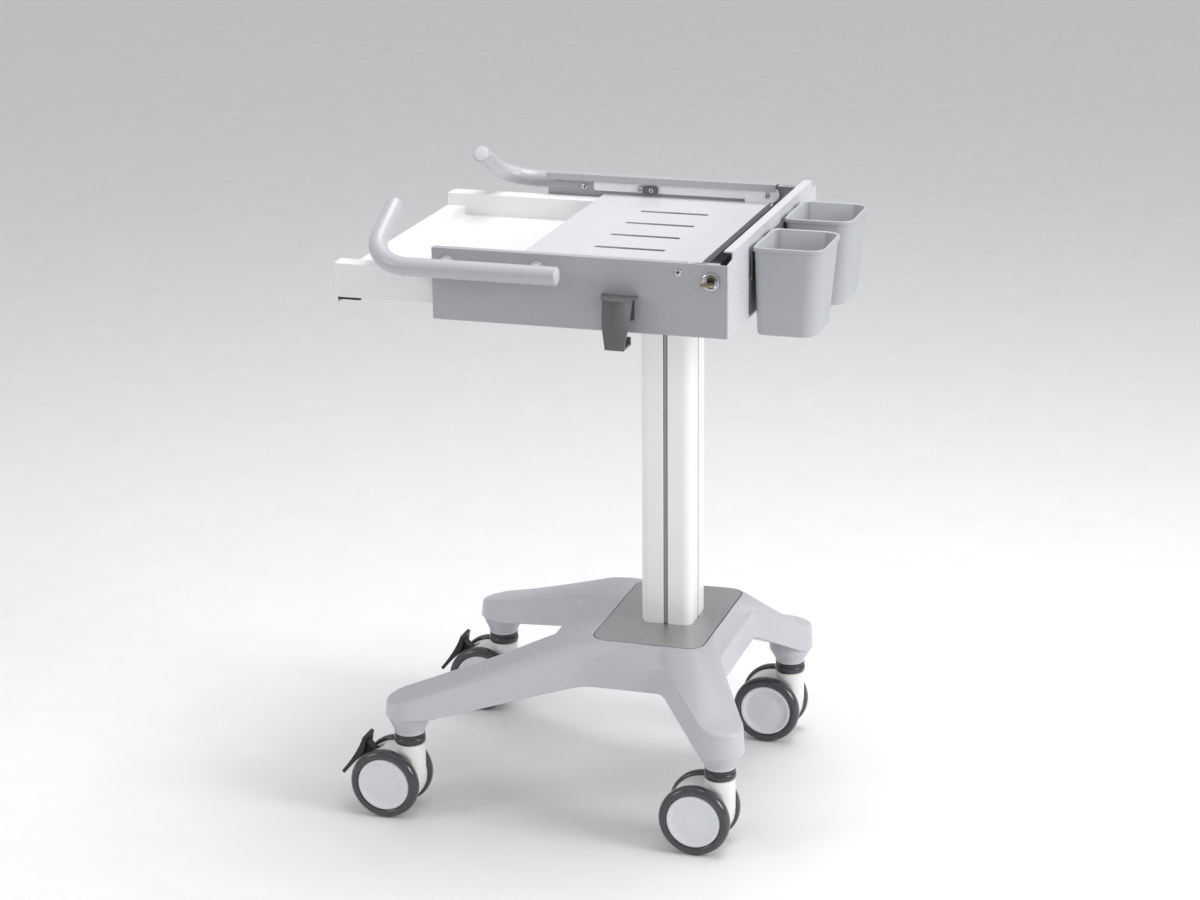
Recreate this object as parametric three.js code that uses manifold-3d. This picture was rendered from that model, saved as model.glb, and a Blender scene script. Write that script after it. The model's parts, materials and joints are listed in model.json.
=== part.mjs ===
// A height-fixed hospital laptop workstation cart: a four-arm base on twin-wheel casters, a slotted column,
// and a flat housing that carries a laptop over a sliding keyboard drawer.
// Units are millimetres, +Z is up, the user stands on the -Y side and +X is the user's right.
// Everything is laid out from the column's axis on the floor, and the whole group is then moved so that
// the origin is on the floor under the middle of the object.
import * as THREE from 'three';
import { mergeVertices } from 'three/addons/utils/BufferGeometryUtils.js';
import Module from 'manifold-3d';

const wasm = await Module();
wasm.setup();

// ---------- driving dimensions ----------

const GAP = 0.3; // between pieces that touch
const SIDES = [['left', -1], ['right', 1]];

// casters
const CASTER_X = 207;
const CASTER_FRONT_Y = -331;
const CASTER_REAR_Y = 125;
const WHEEL_R = 50.8;
const WHEEL_SEGMENTS = 24;
const TRAIL = 29;
const AXLE_R = 5;
const AXLE_HALF = 34;
const FORK_HALF = 19.5;
const STEM_R = 21.5;
const WHEEL_CLEARANCE = 2; // around a tyre, inside the hood
const HOOD_ARC = [-50, 162]; // degrees, seen from the side
const COLLAR_R = 22.2;
const COLLAR_LOW = 107;
const COLLAR_HIGH = 121.5;
const PIN_R = 8; // below the collar, in the fork
const PIN_LOW = 80;
const POST_PIN_R = 11; // above the collar, in the base frame
const POST_PIN_TOP = 157;
const HOOD_R = 46;

// brake pedals, front casters only
const PEDAL_FRONT_Y = -432;
const PEDAL_HALF = 17;
const PEDAL_SHEET = 4;
const PEDAL_PIVOT = [-386, 85]; // Y and Z
const PEDAL_WEB_HALF = 8;
const TRUNNION_R = 3;
const TRUNNION_HALF = 13;
const PEDAL_FACE = [[-394, 114], [-406, 88], [PEDAL_FRONT_Y, 51]]; // Y and Z from the upper tip to the lower

// base
const COVER_WALL = 4;
const BOSS_LOW = 122;
const BOSS_HIGH = 160;
const BOSS_BORE = 16.3;
const BOSS_LOW_R = 21.5;
const BOSS_TOP_R = 30.5;
const ARM_TIP_R = 31.5;
const DRAFT = 2.5; // the side wall leans out by this much at its lower edge
const BODY_X = 152;
const BODY_FRONT_Y = -159;
const BODY_REAR_Y = 95;
const PLATE_TOP = 259;
const PLATE_X = 126;
const PLATE_FRONT_Y = -86;
const PLATE_REAR_Y = 74;
const PLATE_CORNER = 22;
const PLATE_SLIT = 1.2;
const PLATE_SHEET = 4;
const SOCKET_R = 16;
const SOCKET_LOW = 123;
const SOCKET_HIGH = 163;
const BEAM_WIDTH = 26;
const BEAM_TALL = 16;
const BEAM_LOW = 146; // underside of a beam at its socket
const HUB_X = 75;
const HUB_FRONT_Y = -62;
const HUB_REAR_Y = 58;
const HUB_LOW = 200;
const NOTCH_FILLET = 42; // corner radii of the outline, from the front round to the rear
const WAIST_FRONT_FILLET = 90;
const WAIST_REAR_FILLET = 26;
const REAR_FILLET = 24;

// column
const COLUMN_X = 82;
const COLUMN_Y = 75;
const COLUMN_CORNER = 13;
const SLOT_WIDTH = 6;
const SLOT_DEPTH = 7;
const CORE_X = 28; // half the size of the hollow in the middle
const CORE_Y = 24;
const COLUMN_LOW = 240.3;
const COLUMN_TOP = 738.2;
const STRIP_THICK = 3;
const HEAD_X = 70;
const HEAD_Y = 60;
const HEAD_TOP = 744.6;

// housing
const SHEET = 2;
const HOUSING_X = 252;
const HOUSING_FRONT = -262.5;
const HOUSING_REAR = 144.5;
const HOUSING_LOW = 745;
const WALL_TOP = 843;
const REAR_TOP = 856;
const UPSTAND_X = 229; // inner face of the sheet that carries the slides
const UPSTAND_TOP = 803;
const SHELF_LOW = 812.3;
const SHELF_SKIRT = 12; // how far the shelf's side edges hang down
const SHELF_STOP = 9.7; // how far the stop at its rear rises from its underside
const SHELF_SLOT_XS = [-150, -75, 0, 75, 150];
const SHELF_SLOT_YS = [-90, 10];
const RETURN_TOP = 808; // of the narrow turned-in front edges of the side panels
const TRAY_LOW = 785;
const TRAY_WALL = 1.5;
const TIE_SLOT_XS = [-120, 0, 120];
const VENT_ZS = [790.5, 801.4, 825.9, 837.4];
const VENT_X = 182;
const VENT_R = 1.6;
const NOTCH_X = 226; // where the rear panel's top edge steps down to the side panels
const FLANGE = 12;
const FLANGE_REAR = 87;
const SHELF_FRONT = -175;
const SHELF_REAR = 84;

// drawer
const DRAWER_X = 243; // outer face of the skirts that hide the slides
const DRAWER_INNER_X = 213; // inner face of the tray's side walls
const DRAWER_LENGTH = 345;
const DRAWER_OPEN = 146; // how far it stands open as built
const DRAWER_CORNER = 10;
const DRAWER_FLOOR = 776.5;
const DRAWER_TOP = 810;
const SKIRT_LOW = 763.6;
const FRONT_LOW = 755;
const HEM = 6; // depth of the turned-in lower edge of the front
const PALM_REST = 28;
const PALM_REST_TOP = 792;
const SLIDE_LENGTH = 340;
const SLIDE_FRONT = -255;
const SLIDE_SHEET = 1.5;

// handles
const TUBE_R = 12.7;
const HANDLE_X = 286;
const HANDLE_Z = 823;
const HANDLE_REAR = -77;
const HANDLE_BEND_Y = -284;
const HANDLE_BEND_R = 57;
const HANDLE_RISE = THREE.MathUtils.degToRad(27.4);
const HANDLE_END = 67;
const POST_R = 7;
const POST_YS = [-115, -240];

// bins
const BIN_X = 89; // centre of a bin from the middle of the cart
const BIN_BACK = 149.6;
const BIN_DEPTH = 97;
const BIN_HALF = 60;
const BIN_TOP = 844;
const BIN_TALL = 121.5;
const BIN_TAPER = 8;
const BIN_WALL = 2.5;
const BIN_RIM = 1.5;
const BRACKET_TOP = 838;
const BRACKET_HALF = 142;
const BRACKET_STEP = 798; // where its upper part steps out
const TAB_HALF = 20;
const BRACKET_LIP_Y = 144.95; // front face of the tabs that hang over the bracket
const BIN_CORNER = 22;
const BIN_BACK_CORNER = 10;

// cord hook and lock, both on the right side panel
const HOOK_Y = -1;
const HOOK_TOP = 796;
const HOOK_REACH = 35;
const HOOK_HALF = 24.5;
const HOOK_FOOT_HALF = 13;
const HOOK_TALL = 69;
const HOOK_SHEET = 3;
const LOCK_Y = 122;
const LOCK_Z = 821;
const LOCK_RING_R = 12;
const LOCK_BARREL_R = 8.5;
const LOCK_PLUG_R = 5.5;

const FRONT_Y = PEDAL_FRONT_Y;
const REAR_Y = BIN_BACK + BIN_DEPTH;
const MIDDLE_Y = (FRONT_Y + REAR_Y) / 2;

// ---------- materials ----------

function paint(hex, roughness, metalness = 0) {
  return new THREE.MeshStandardMaterial({ color: hex, roughness, metalness });
}

const coverPlastic = paint(0xc8c8cc, 0.5);
const steel = paint(0xb8babd, 0.3, 1);
const brushedPlate = paint(0xa5a6a8, 0.35, 0.9);
const whiteCoat = paint(0xf2f2f3, 0.4);
const greyCoat = paint(0xb4b6ba, 0.4, 0.2);
const paleCoat = paint(0xdedde2, 0.45, 0.1);
const stripGrey = paint(0x9a9a9c, 0.6);
const tyreRubber = paint(0x45454b, 0.35);
const hubPlastic = paint(0xe4e5e7, 0.4);
const blackPlastic = paint(0x222225, 0.45);
const darkPlastic = paint(0x55565a, 0.5);
const binPlastic = paint(0xbfc1c4, 0.5);
const chrome = paint(0xd8d8dc, 0.12, 1);
const brass = paint(0xb59a62, 0.3, 1);

// ---------- solids ----------

function solid(geometry) {
  const bare = geometry.index ? geometry.toNonIndexed() : geometry.clone();
  bare.deleteAttribute('normal');
  bare.deleteAttribute('uv');
  const merged = mergeVertices(bare, 1e-3);
  const triVerts = new Uint32Array(merged.index.array);
  return new wasm.Manifold(
    new wasm.Mesh({ numProp: 3, vertProperties: merged.attributes.position.array, triVerts }),
  );
}

function join(first, ...others) {
  return others.reduce((whole, piece) => whole.add(piece), first);
}

function cut(first, ...others) {
  return others.reduce((whole, piece) => whole.subtract(piece), first);
}

function place(group, name, shape, material) {
  let geometry = shape;
  if (!shape.isBufferGeometry) {
    const mesh = shape.getMesh();
    geometry = new THREE.BufferGeometry();
    geometry.setAttribute('position', new THREE.BufferAttribute(mesh.vertProperties, 3));
    geometry.setIndex(new THREE.BufferAttribute(mesh.triVerts, 1));
    geometry.computeVertexNormals();
  }
  const node = new THREE.Mesh(geometry, material);
  node.name = name;
  group.add(node);
  return node;
}

function box(x0, x1, y0, y1, z0, z1) {
  const geometry = new THREE.BoxGeometry(x1 - x0, y1 - y0, z1 - z0);
  geometry.translate((x0 + x1) / 2, (y0 + y1) / 2, (z0 + z1) / 2);
  return solid(geometry);
}

// A box on one side of the cart: side is -1 or 1, and x0 < x1 are distances from the middle.
function sideBox(side, x0, x1, y0, y1, z0, z1) {
  return side > 0 ? box(x0, x1, y0, y1, z0, z1) : box(-x1, -x0, y0, y1, z0, z1);
}

// A shape drawn in X and Y, from z0 to z1.
function slab(shape, z0, z1, curveSegments = 4) {
  const options = { depth: z1 - z0, bevelEnabled: false, curveSegments };
  const geometry = new THREE.ExtrudeGeometry(shape, options);
  geometry.translate(0, 0, z0);
  return solid(geometry);
}

// A profile of [along, height] points drawn in the Y and Z directions, from x0 to x1.
function profileAlongX(points, x0, x1) {
  const shape = new THREE.Shape(points.map(([y, z]) => new THREE.Vector2(y, z)));
  const geometry = new THREE.ExtrudeGeometry(shape, { depth: x1 - x0, bevelEnabled: false });
  geometry.applyMatrix4(new THREE.Matrix4().set(0, 0, 1, x0, 1, 0, 0, 0, 0, 1, 0, 0, 0, 0, 0, 1));
  return solid(geometry);
}

// A profile of [radius, height] points, from the axis back to the axis or closed on itself, turned about Z.
function turned(points, segments, x = 0, y = 0) {
  const profile = points.map(([r, z]) => new THREE.Vector2(r, z));
  const geometry = new THREE.LatheGeometry(profile, segments);
  geometry.rotateX(Math.PI / 2);
  geometry.translate(x, y, 0);
  return geometry;
}

// The same, turned about the X axis through (y, z), with a flat of the polygon facing down.
function turnedAboutX(points, segments, x, y, z) {
  const geometry = turned(points, segments);
  geometry.rotateZ(Math.PI / segments);
  geometry.rotateY(Math.PI / 2);
  geometry.translate(x, y, z);
  return geometry;
}

function cylinder(radius, z0, z1, x, y, segments = 20) {
  return solid(turned([[0, z0], [radius, z0], [radius, z1], [0, z1]], segments, x, y));
}

function cylinderAlongX(radius, x0, x1, y, z, segments = 20) {
  return solid(turnedAboutX([[0, x0], [radius, x0], [radius, x1], [0, x1]], segments, 0, y, z));
}

function roundedRectangle(halfX, y0, y1, radius) {
  const shape = new THREE.Shape();
  shape.moveTo(halfX, y0 + radius);
  shape.absarc(halfX - radius, y1 - radius, radius, 0, Math.PI / 2);
  shape.absarc(-halfX + radius, y1 - radius, radius, Math.PI / 2, Math.PI);
  shape.absarc(-halfX + radius, y0 + radius, radius, Math.PI, 1.5 * Math.PI);
  shape.absarc(halfX - radius, y0 + radius, radius, 1.5 * Math.PI, 2 * Math.PI);
  return shape;
}

// Joins equal loops of [x, y, z] points, each counter-clockwise seen from above. A ring joins the last loop
// back to the first; otherwise the first loop is closed facing up and the last facing down.
function loft(loops, ring = false) {
  const count = loops[0].length;
  const positions = loops.flat(2);
  const faces = [];
  const joints = ring ? loops.length : loops.length - 1;
  for (let k = 0; k < joints; k += 1) {
    const near = k * count;
    const far = ((k + 1) % loops.length) * count;
    for (let i = 0; i < count; i += 1) {
      const next = (i + 1) % count;
      faces.push(near + i, far + i, far + next, near + i, far + next, near + next);
    }
  }
  if (!ring) {
    const last = (loops.length - 1) * count;
    const flat = (loop) => loop.map(([x, y]) => new THREE.Vector2(x, y));
    for (const [a, b, c] of THREE.ShapeUtils.triangulateShape(flat(loops[0]), [])) {
      faces.push(a, b, c);
    }
    for (const [a, b, c] of THREE.ShapeUtils.triangulateShape(flat(loops.at(-1)), [])) {
      faces.push(last + a, last + c, last + b);
    }
  }
  const geometry = new THREE.BufferGeometry();
  geometry.setAttribute('position', new THREE.Float32BufferAttribute(positions, 3));
  geometry.setIndex(faces);
  return solid(geometry);
}

// ---------- base ----------

// An arm's crease stands at tipZ over its caster, climbs by slope along `inward` towards the middle of the
// base and falls by tipSlope the other way.
const FRONT_ARM = {
  x: CASTER_X,
  y: CASTER_FRONT_Y,
  inward: [-0.385, 0.923],
  tipZ: 180,
  slope: 0.275,
  tipSlope: 0.22,
};
const REAR_ARM = {
  x: CASTER_X,
  y: CASTER_REAR_Y,
  inward: [-0.784, -0.621],
  tipZ: 187,
  slope: 0.5,
  tipSlope: 0.19,
};
const FRONT_WALL = { low: 150, slope: 0.213, from: 22 }; // the side wall's lower edge along an arm
const REAR_WALL = { low: 145, slope: 0.5, from: 0 };
const CREASE_MAX = 238;
const WALL_LOW_MAX = 197;

// How far a point lies from an arm's caster towards the middle of the base.
function alongArm(arm, x, y) {
  return (Math.abs(x) - arm.x) * arm.inward[0] + (y - arm.y) * arm.inward[1];
}

function armHeight(arm, x, y) {
  const along = alongArm(arm, x, y);
  return arm.tipZ + along * (along > 0 ? arm.slope : arm.tipSlope);
}

function creaseHeight(x, y) {
  return Math.min(CREASE_MAX, armHeight(FRONT_ARM, x, y), armHeight(REAR_ARM, x, y));
}

function wallLow(x, y) {
  const climb = (arm, wall) => wall.low + wall.slope * Math.max(0, alongArm(arm, x, y) - wall.from);
  return Math.min(WALL_LOW_MAX, climb(FRONT_ARM, FRONT_WALL), climb(REAR_ARM, REAR_WALL));
}

// The points that divide a line into equal parts, without its ends.
function between(a, b, parts) {
  const points = [];
  for (let i = 1; i < parts; i += 1) {
    const share = i / parts;
    points.push([THREE.MathUtils.lerp(a[0], b[0], share), THREE.MathUtils.lerp(a[1], b[1], share)]);
  }
  return points;
}

// The round end of an arm, from the line that comes from `before` to the line that goes to `after`.
function armTip(arm, before, after, parts) {
  const reach = (p) => Math.acos(ARM_TIP_R / Math.hypot(p[0] - arm.x, p[1] - arm.y));
  const start = Math.atan2(before[1] - arm.y, before[0] - arm.x) + reach(before);
  let end = Math.atan2(after[1] - arm.y, after[0] - arm.x) - reach(after);
  while (end < start) end += 2 * Math.PI;
  const points = [];
  for (let i = 0; i <= parts; i += 1) {
    const angle = start + ((end - start) * i) / parts;
    points.push([arm.x + ARM_TIP_R * Math.cos(angle), arm.y + ARM_TIP_R * Math.sin(angle)]);
  }
  return points;
}

// A rounded corner at `corner` between the lines to `a` and `b`.
function fillet(a, corner, b, radius, parts) {
  const toA = new THREE.Vector2(a[0] - corner[0], a[1] - corner[1]).normalize();
  const toB = new THREE.Vector2(b[0] - corner[0], b[1] - corner[1]).normalize();
  const half = Math.acos(THREE.MathUtils.clamp(toA.dot(toB), -1, 1)) / 2;
  const start = new THREE.Vector2(...corner).addScaledVector(toA, radius / Math.tan(half));
  const end = new THREE.Vector2(...corner).addScaledVector(toB, radius / Math.tan(half));
  const curve = new THREE.QuadraticBezierCurve(start, new THREE.Vector2(...corner), end);
  return curve.getPoints(parts).map((p) => [p.x, p.y]);
}

// The right half of the base's outline, from the middle of the front to the middle of the rear, in four
// stretches that meet at the arms' tips and at the middle of the side.
function rightOutline() {
  const front = [0, BODY_FRONT_Y];
  const notch = [90, BODY_FRONT_Y];
  const waistFront = [BODY_X, -90];
  const waistRear = [BODY_X, 28];
  const rearNotch = [99, BODY_REAR_Y];
  const rear = [0, BODY_REAR_Y];
  const frontTip = armTip(FRONT_ARM, notch, waistFront, 8);
  const rearTip = armTip(REAR_ARM, waistRear, rearNotch, 8);
  const notchArc = fillet(front, notch, frontTip[0], NOTCH_FILLET, 5);
  const waistFrontArc = fillet(frontTip[8], waistFront, waistRear, WAIST_FRONT_FILLET, 3);
  const waistRearArc = fillet(waistFront, waistRear, rearTip[0], WAIST_REAR_FILLET, 3);
  const rearArc = fillet(rearTip[8], rearNotch, rear, REAR_FILLET, 3);
  const middle = [BODY_X, (waistFrontArc[3][1] + waistRearArc[0][1]) / 2];
  const toNotch = [front, ...between(front, notchArc[0], 2), ...notchArc];
  const toFrontTip = between(notchArc[5], frontTip[0], 3);
  const toWaist = between(frontTip[8], waistFrontArc[0], 4);
  const toRearTip = between(waistRearArc[3], rearTip[0], 3);
  const toRear = [...rearArc, ...between(rearArc[3], rear, 2), rear];
  return [
    [...toNotch, ...toFrontTip, ...frontTip.slice(0, 5)],
    [...frontTip.slice(4), ...toWaist, ...waistFrontArc, middle],
    [middle, ...waistRearArc, ...toRearTip, ...rearTip.slice(0, 5)],
    [...rearTip.slice(4), ...between(rearTip[8], rearArc[0], 2), ...toRear],
  ];
}

// The right half of the cover's opening around the base plate.
function plateEdge(grow) {
  const x = PLATE_X + grow;
  const radius = PLATE_CORNER + grow;
  const edge = new THREE.Path();
  edge.moveTo(0, PLATE_FRONT_Y - grow);
  edge.lineTo(x - radius, PLATE_FRONT_Y - grow);
  edge.absarc(x - radius, PLATE_FRONT_Y - grow + radius, radius, -Math.PI / 2, 0);
  edge.lineTo(x, PLATE_REAR_Y + grow - radius);
  edge.absarc(x - radius, PLATE_REAR_Y + grow - radius, radius, 0, Math.PI / 2);
  edge.lineTo(0, PLATE_REAR_Y + grow);
  return edge;
}

// Pairs each point of the outline with a point of the plate's opening: {out: [x, y], in: [x, y]}.
function coverPairs() {
  const edge = plateEdge(PLATE_SLIT);
  const lengths = edge.curves.map((curve) => curve.getLength());
  const total = edge.getLength();
  const side = lengths[0] + lengths[1] + lengths[2] / 2;
  const marks = [0, lengths[0] + lengths[1] / 2, side, side + (lengths[2] + lengths[3]) / 2, total];
  const pairs = [];
  rightOutline().forEach((stretch, s) => {
    const walked = [0];
    stretch.forEach((p, i) => {
      if (i) walked.push(walked[i - 1] + Math.hypot(p[0] - stretch[i - 1][0], p[1] - stretch[i - 1][1]));
    });
    stretch.forEach((p, i) => {
      if (i === 0 && s > 0) return;
      const share = walked[i] / walked.at(-1);
      const at = edge.getPointAt(Math.min(1, (marks[s] + share * (marks[s + 1] - marks[s])) / total));
      pairs.push({ out: p, in: [at.x, at.y] });
    });
  });
  const mirror = ([x, y]) => [-x, y];
  const mirrored = pairs.slice(1, -1).reverse();
  return [...pairs, ...mirrored.map((pair) => ({ out: mirror(pair.out), in: mirror(pair.in) }))];
}

// The outline moved outwards by `distance`, point by point.
function offset(points, distance) {
  return points.map((p, i) => {
    const before = points.at(i - 1);
    const after = points[(i + 1) % points.length];
    const run = new THREE.Vector2(after[0] - before[0], after[1] - before[1]).normalize();
    return [p[0] + run.y * distance, p[1] - run.x * distance];
  });
}

// One loop of the cover's top: t runs from 0 at the plate to 1 at the outer crease.
function topLoop(pairs, crease, t, drop) {
  return pairs.map((pair, i) => {
    const x = THREE.MathUtils.lerp(pair.in[0], crease[i][0], t);
    const y = THREE.MathUtils.lerp(pair.in[1], crease[i][1], t);
    const rise = (PLATE_TOP - creaseHeight(...pair.in)) * (1 - t) ** 1.5;
    return [x, y, creaseHeight(x, y) + rise - drop];
  });
}

function coverShell() {
  const pairs = coverPairs();
  const outline = pairs.map((pair) => pair.out);
  const inner = offset(outline, -COVER_WALL);
  const low = ([x, y], i) => [x, y, wallLow(...outline[i])];
  return loft(
    [
      topLoop(pairs, outline, 0, 0),
      topLoop(pairs, outline, 0.4, 0),
      topLoop(pairs, outline, 1, 0),
      offset(outline, DRAFT).map(low),
      offset(outline, DRAFT - COVER_WALL).map(low),
      topLoop(pairs, inner, 1, COVER_WALL),
      topLoop(pairs, inner, 0.4, COVER_WALL),
      topLoop(pairs, inner, 0, COVER_WALL),
    ],
    true,
  );
}

// The two flared rings that hang from the undersides of a pair of arms, over the casters' collars.
function bosses(arm, flareTop) {
  const profile = [
    [BOSS_BORE, BOSS_LOW],
    [BOSS_LOW_R, BOSS_LOW],
    [BOSS_TOP_R, flareTop],
    [BOSS_TOP_R, BOSS_HIGH],
    [BOSS_BORE, BOSS_HIGH],
    [BOSS_BORE, BOSS_LOW],
  ];
  return [-1, 1].map((side) => solid(turned(profile, 20, side * arm.x, arm.y)));
}

// A steel beam that climbs from a caster's socket into the hub.
function beam(side, arm, end, slope, grow) {
  const start = new THREE.Vector3(side * arm.x, arm.y, 0);
  const run = new THREE.Vector3(side * end[0], end[1], 0).sub(start);
  const length = run.length();
  const low = BEAM_LOW - grow;
  const high = BEAM_LOW + BEAM_TALL + grow;
  const shape = new THREE.Shape();
  shape.moveTo(0, low);
  shape.lineTo(length, low + length * slope);
  shape.lineTo(length, high + length * slope);
  shape.lineTo(0, high);
  shape.closePath();
  const options = { depth: BEAM_WIDTH + 2 * grow, bevelEnabled: false };
  const geometry = new THREE.ExtrudeGeometry(shape, options);
  geometry.translate(0, 0, -BEAM_WIDTH / 2 - grow);
  const along = run.normalize();
  const up = new THREE.Vector3(0, 0, 1);
  geometry.applyMatrix4(new THREE.Matrix4().makeBasis(along, up, along.clone().cross(up)));
  geometry.translate(start.x, start.y, 0);
  return solid(geometry);
}

function beams(grow = 0) {
  return [-1, 1].flatMap((side) => [
    beam(side, FRONT_ARM, [55, -40], 0.2, grow),
    beam(side, REAR_ARM, [60, 24], 0.4, grow),
  ]);
}

function baseCover() {
  const whole = join(coverShell(), ...bosses(FRONT_ARM, 149), ...bosses(REAR_ARM, 144));
  return cut(whole, ...beams(GAP));
}

// One piece at each of the four casters.
function atCasters(make) {
  return [FRONT_ARM, REAR_ARM].flatMap((arm) => [-1, 1].map((side) => make(side * arm.x, arm.y)));
}

// Four beams and a hub that the column stands in, with a socket for each caster's stem.
function baseFrame() {
  const post = (radius, low, high) => (x, y) => cylinder(radius, low, high, x, y, 16);
  const above = SOCKET_HIGH + 9;
  const sockets = atCasters(post(SOCKET_R, SOCKET_LOW, SOCKET_HIGH));
  const bores = atCasters(post(POST_PIN_R + GAP, SOCKET_LOW - 1, above));
  const tops = atCasters(post(SOCKET_R, SOCKET_HIGH, above));
  const hubTop = PLATE_TOP - PLATE_SHEET - GAP;
  const hub = box(-HUB_X, HUB_X, HUB_FRONT_Y, HUB_REAR_Y, HUB_LOW, hubTop);
  const pocket = slab(columnOutline(GAP), COLUMN_LOW - GAP, hubTop + 1);
  return cut(join(hub, ...beams(), ...sockets), ...bores, ...tops, pocket);
}

function basePlate() {
  const shape = new THREE.Shape(plateEdge(0).getPoints(4).concat(mirroredPlateEdge()));
  return cut(
    slab(shape, PLATE_TOP - PLATE_SHEET, PLATE_TOP),
    slab(columnOutline(0.4), PLATE_TOP - PLATE_SHEET - 1, PLATE_TOP + 1),
  );
}

function mirroredPlateEdge() {
  return plateEdge(0).getPoints(4).slice(1, -1).reverse().map((p) => new THREE.Vector2(-p.x, p.y));
}

// ---------- column ----------

function columnOutline(grow) {
  const y = COLUMN_Y / 2 + grow;
  return roundedRectangle(COLUMN_X / 2 + grow, -y, y, COLUMN_CORNER + grow);
}

function column() {
  const half = SLOT_WIDTH / 2;
  const x = COLUMN_X / 2;
  const y = COLUMN_Y / 2;
  const low = COLUMN_LOW - 1;
  const top = COLUMN_TOP + 1;
  return cut(
    slab(columnOutline(0), COLUMN_LOW, COLUMN_TOP),
    box(-CORE_X, CORE_X, -CORE_Y, CORE_Y, low, top),
    box(-half, half, -y - 1, -y + SLOT_DEPTH, low, top),
    box(-half, half, y - SLOT_DEPTH, y + 1, low, top),
    box(-x - 1, -x + SLOT_DEPTH, -half, half, low, top),
    box(x - SLOT_DEPTH, x + 1, -half, half, low, top),
  );
}

// The cover strip that is pressed into a side slot.
function columnStrip(side) {
  const half = SLOT_WIDTH / 2 - GAP;
  const outer = COLUMN_X / 2 - 1;
  return sideBox(side, outer - STRIP_THICK, outer, -half, half, PLATE_TOP + 1, COLUMN_TOP - 2);
}

function columnHead() {
  return join(
    slab(roundedRectangle(HEAD_X, -HEAD_Y, HEAD_Y, 8), COLUMN_TOP + GAP, HEAD_TOP),
    box(-CORE_X + GAP, CORE_X - GAP, -CORE_Y + GAP, CORE_Y - GAP, COLUMN_TOP - 38, COLUMN_TOP + 1),
  );
}

// ---------- casters ----------

const STEM_PROFILE = [
  [0, PIN_LOW],
  [PIN_R, PIN_LOW],
  [PIN_R, COLLAR_LOW],
  [COLLAR_R, COLLAR_LOW],
  [COLLAR_R, COLLAR_HIGH],
  [POST_PIN_R, COLLAR_HIGH],
  [POST_PIN_R, POST_PIN_TOP],
  [0, POST_PIN_TOP],
];

// Distance from the wheel's axis, then distance from the caster's middle plane.
const TYRE_PROFILE = [[38.5, 21], [46, 20.5], [50.8, 24], [50.8, 34], [46, 37.5], [38.5, 37], [38.5, 21]];
const HUB_PROFILE = [[0, 34.6], [5.3, 34.6], [5.3, 20.8], [38.2, 20.8], [38.2, 35.5], [34, 37.5], [0, 38.8]];

// A wheel's piece on one side of its caster. The outermost ring of corners lies outside the true circle, so
// that each flat of the polygon is WHEEL_R from the axle.
function wheelPiece(profile, side, x, y) {
  const across = 1 / Math.cos(Math.PI / WHEEL_SEGMENTS);
  const points = profile.map(([r, along]) => [r === WHEEL_R ? r * across : r, x + side * along]);
  return turnedAboutX(side > 0 ? points : points.reverse(), WHEEL_SEGMENTS, 0, y, WHEEL_R);
}

// The hood between the two wheels, seen from the side.
function hoodOutline(y) {
  const shape = new THREE.Shape();
  shape.absarc(y, WHEEL_R, HOOD_R, ...HOOD_ARC.map(THREE.MathUtils.degToRad));
  return shape.getPoints(12).map((p) => [p.x, p.y]);
}

function fork(x, casterY, braked) {
  const axleY = casterY - TRAIL;
  const top = COLLAR_LOW - GAP;
  const hood = profileAlongX(hoodOutline(axleY), x - FORK_HALF, x + FORK_HALF);
  const stem = cylinder(STEM_R, WHEEL_R + 10, top, x, casterY, 20);
  const clearR = WHEEL_R + WHEEL_CLEARANCE;
  const clearances = [-1, 1].map((side) => {
    const near = x + side * (FORK_HALF + GAP);
    const far = x + side * (FORK_HALF + 30);
    return cylinderAlongX(clearR, Math.min(near, far), Math.max(near, far), axleY, WHEEL_R, 24);
  });
  const bore = cylinder(PIN_R + GAP, PIN_LOW - GAP, top + 1, x, casterY, 16);
  const axleBore = cylinderAlongX(AXLE_R + GAP, x - FORK_HALF - 1, x + FORK_HALF + 1, axleY, WHEEL_R, 16);
  const whole = cut(join(hood, stem), ...clearances, bore, axleBore);
  return braked ? cut(whole, ...pedalClearance(x)) : whole;
}

function axle(x, y) {
  return cylinderAlongX(AXLE_R, x - AXLE_HALF, x + AXLE_HALF, y, WHEEL_R, 12);
}

function pedalClearance(x) {
  const slot = PEDAL_WEB_HALF + 0.4;
  const [pivotY, pivotZ] = PEDAL_PIVOT;
  const hole = TRUNNION_HALF + GAP;
  return [
    box(x - slot, x + slot, pivotY - 40, pivotY + 14, pivotZ - 25, pivotZ + 40),
    cylinderAlongX(TRUNNION_R + GAP, x - hole, x + hole, pivotY, pivotZ, 12),
  ];
}

// A hollow-faced tread on a web that turns on two short trunnions in the hood.
function brakePedal(x) {
  const [pivotY, pivotZ] = PEDAL_PIVOT;
  const face = new THREE.QuadraticBezierCurve(...PEDAL_FACE.map((p) => new THREE.Vector2(...p)));
  const front = face.getPoints(6).map((p) => [p.x, p.y]);
  const back = [...front].reverse().map(([y, z]) => [y + PEDAL_SHEET, z + 1]);
  const tread = profileAlongX([...front, ...back], x - PEDAL_HALF, x + PEDAL_HALF);
  const web = profileAlongX(
    [
      [pivotY + 5, pivotZ - 3],
      [pivotY + 5, pivotZ + 3],
      [pivotY - 12, pivotZ + 20],
      [pivotY - 30, pivotZ - 9],
      [pivotY - 4, pivotZ - 6],
    ],
    x - PEDAL_WEB_HALF,
    x + PEDAL_WEB_HALF,
  );
  const trunnions = cylinderAlongX(TRUNNION_R, x - TRUNNION_HALF, x + TRUNNION_HALF, pivotY, pivotZ, 12);
  return join(tread, web, trunnions);
}

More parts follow.
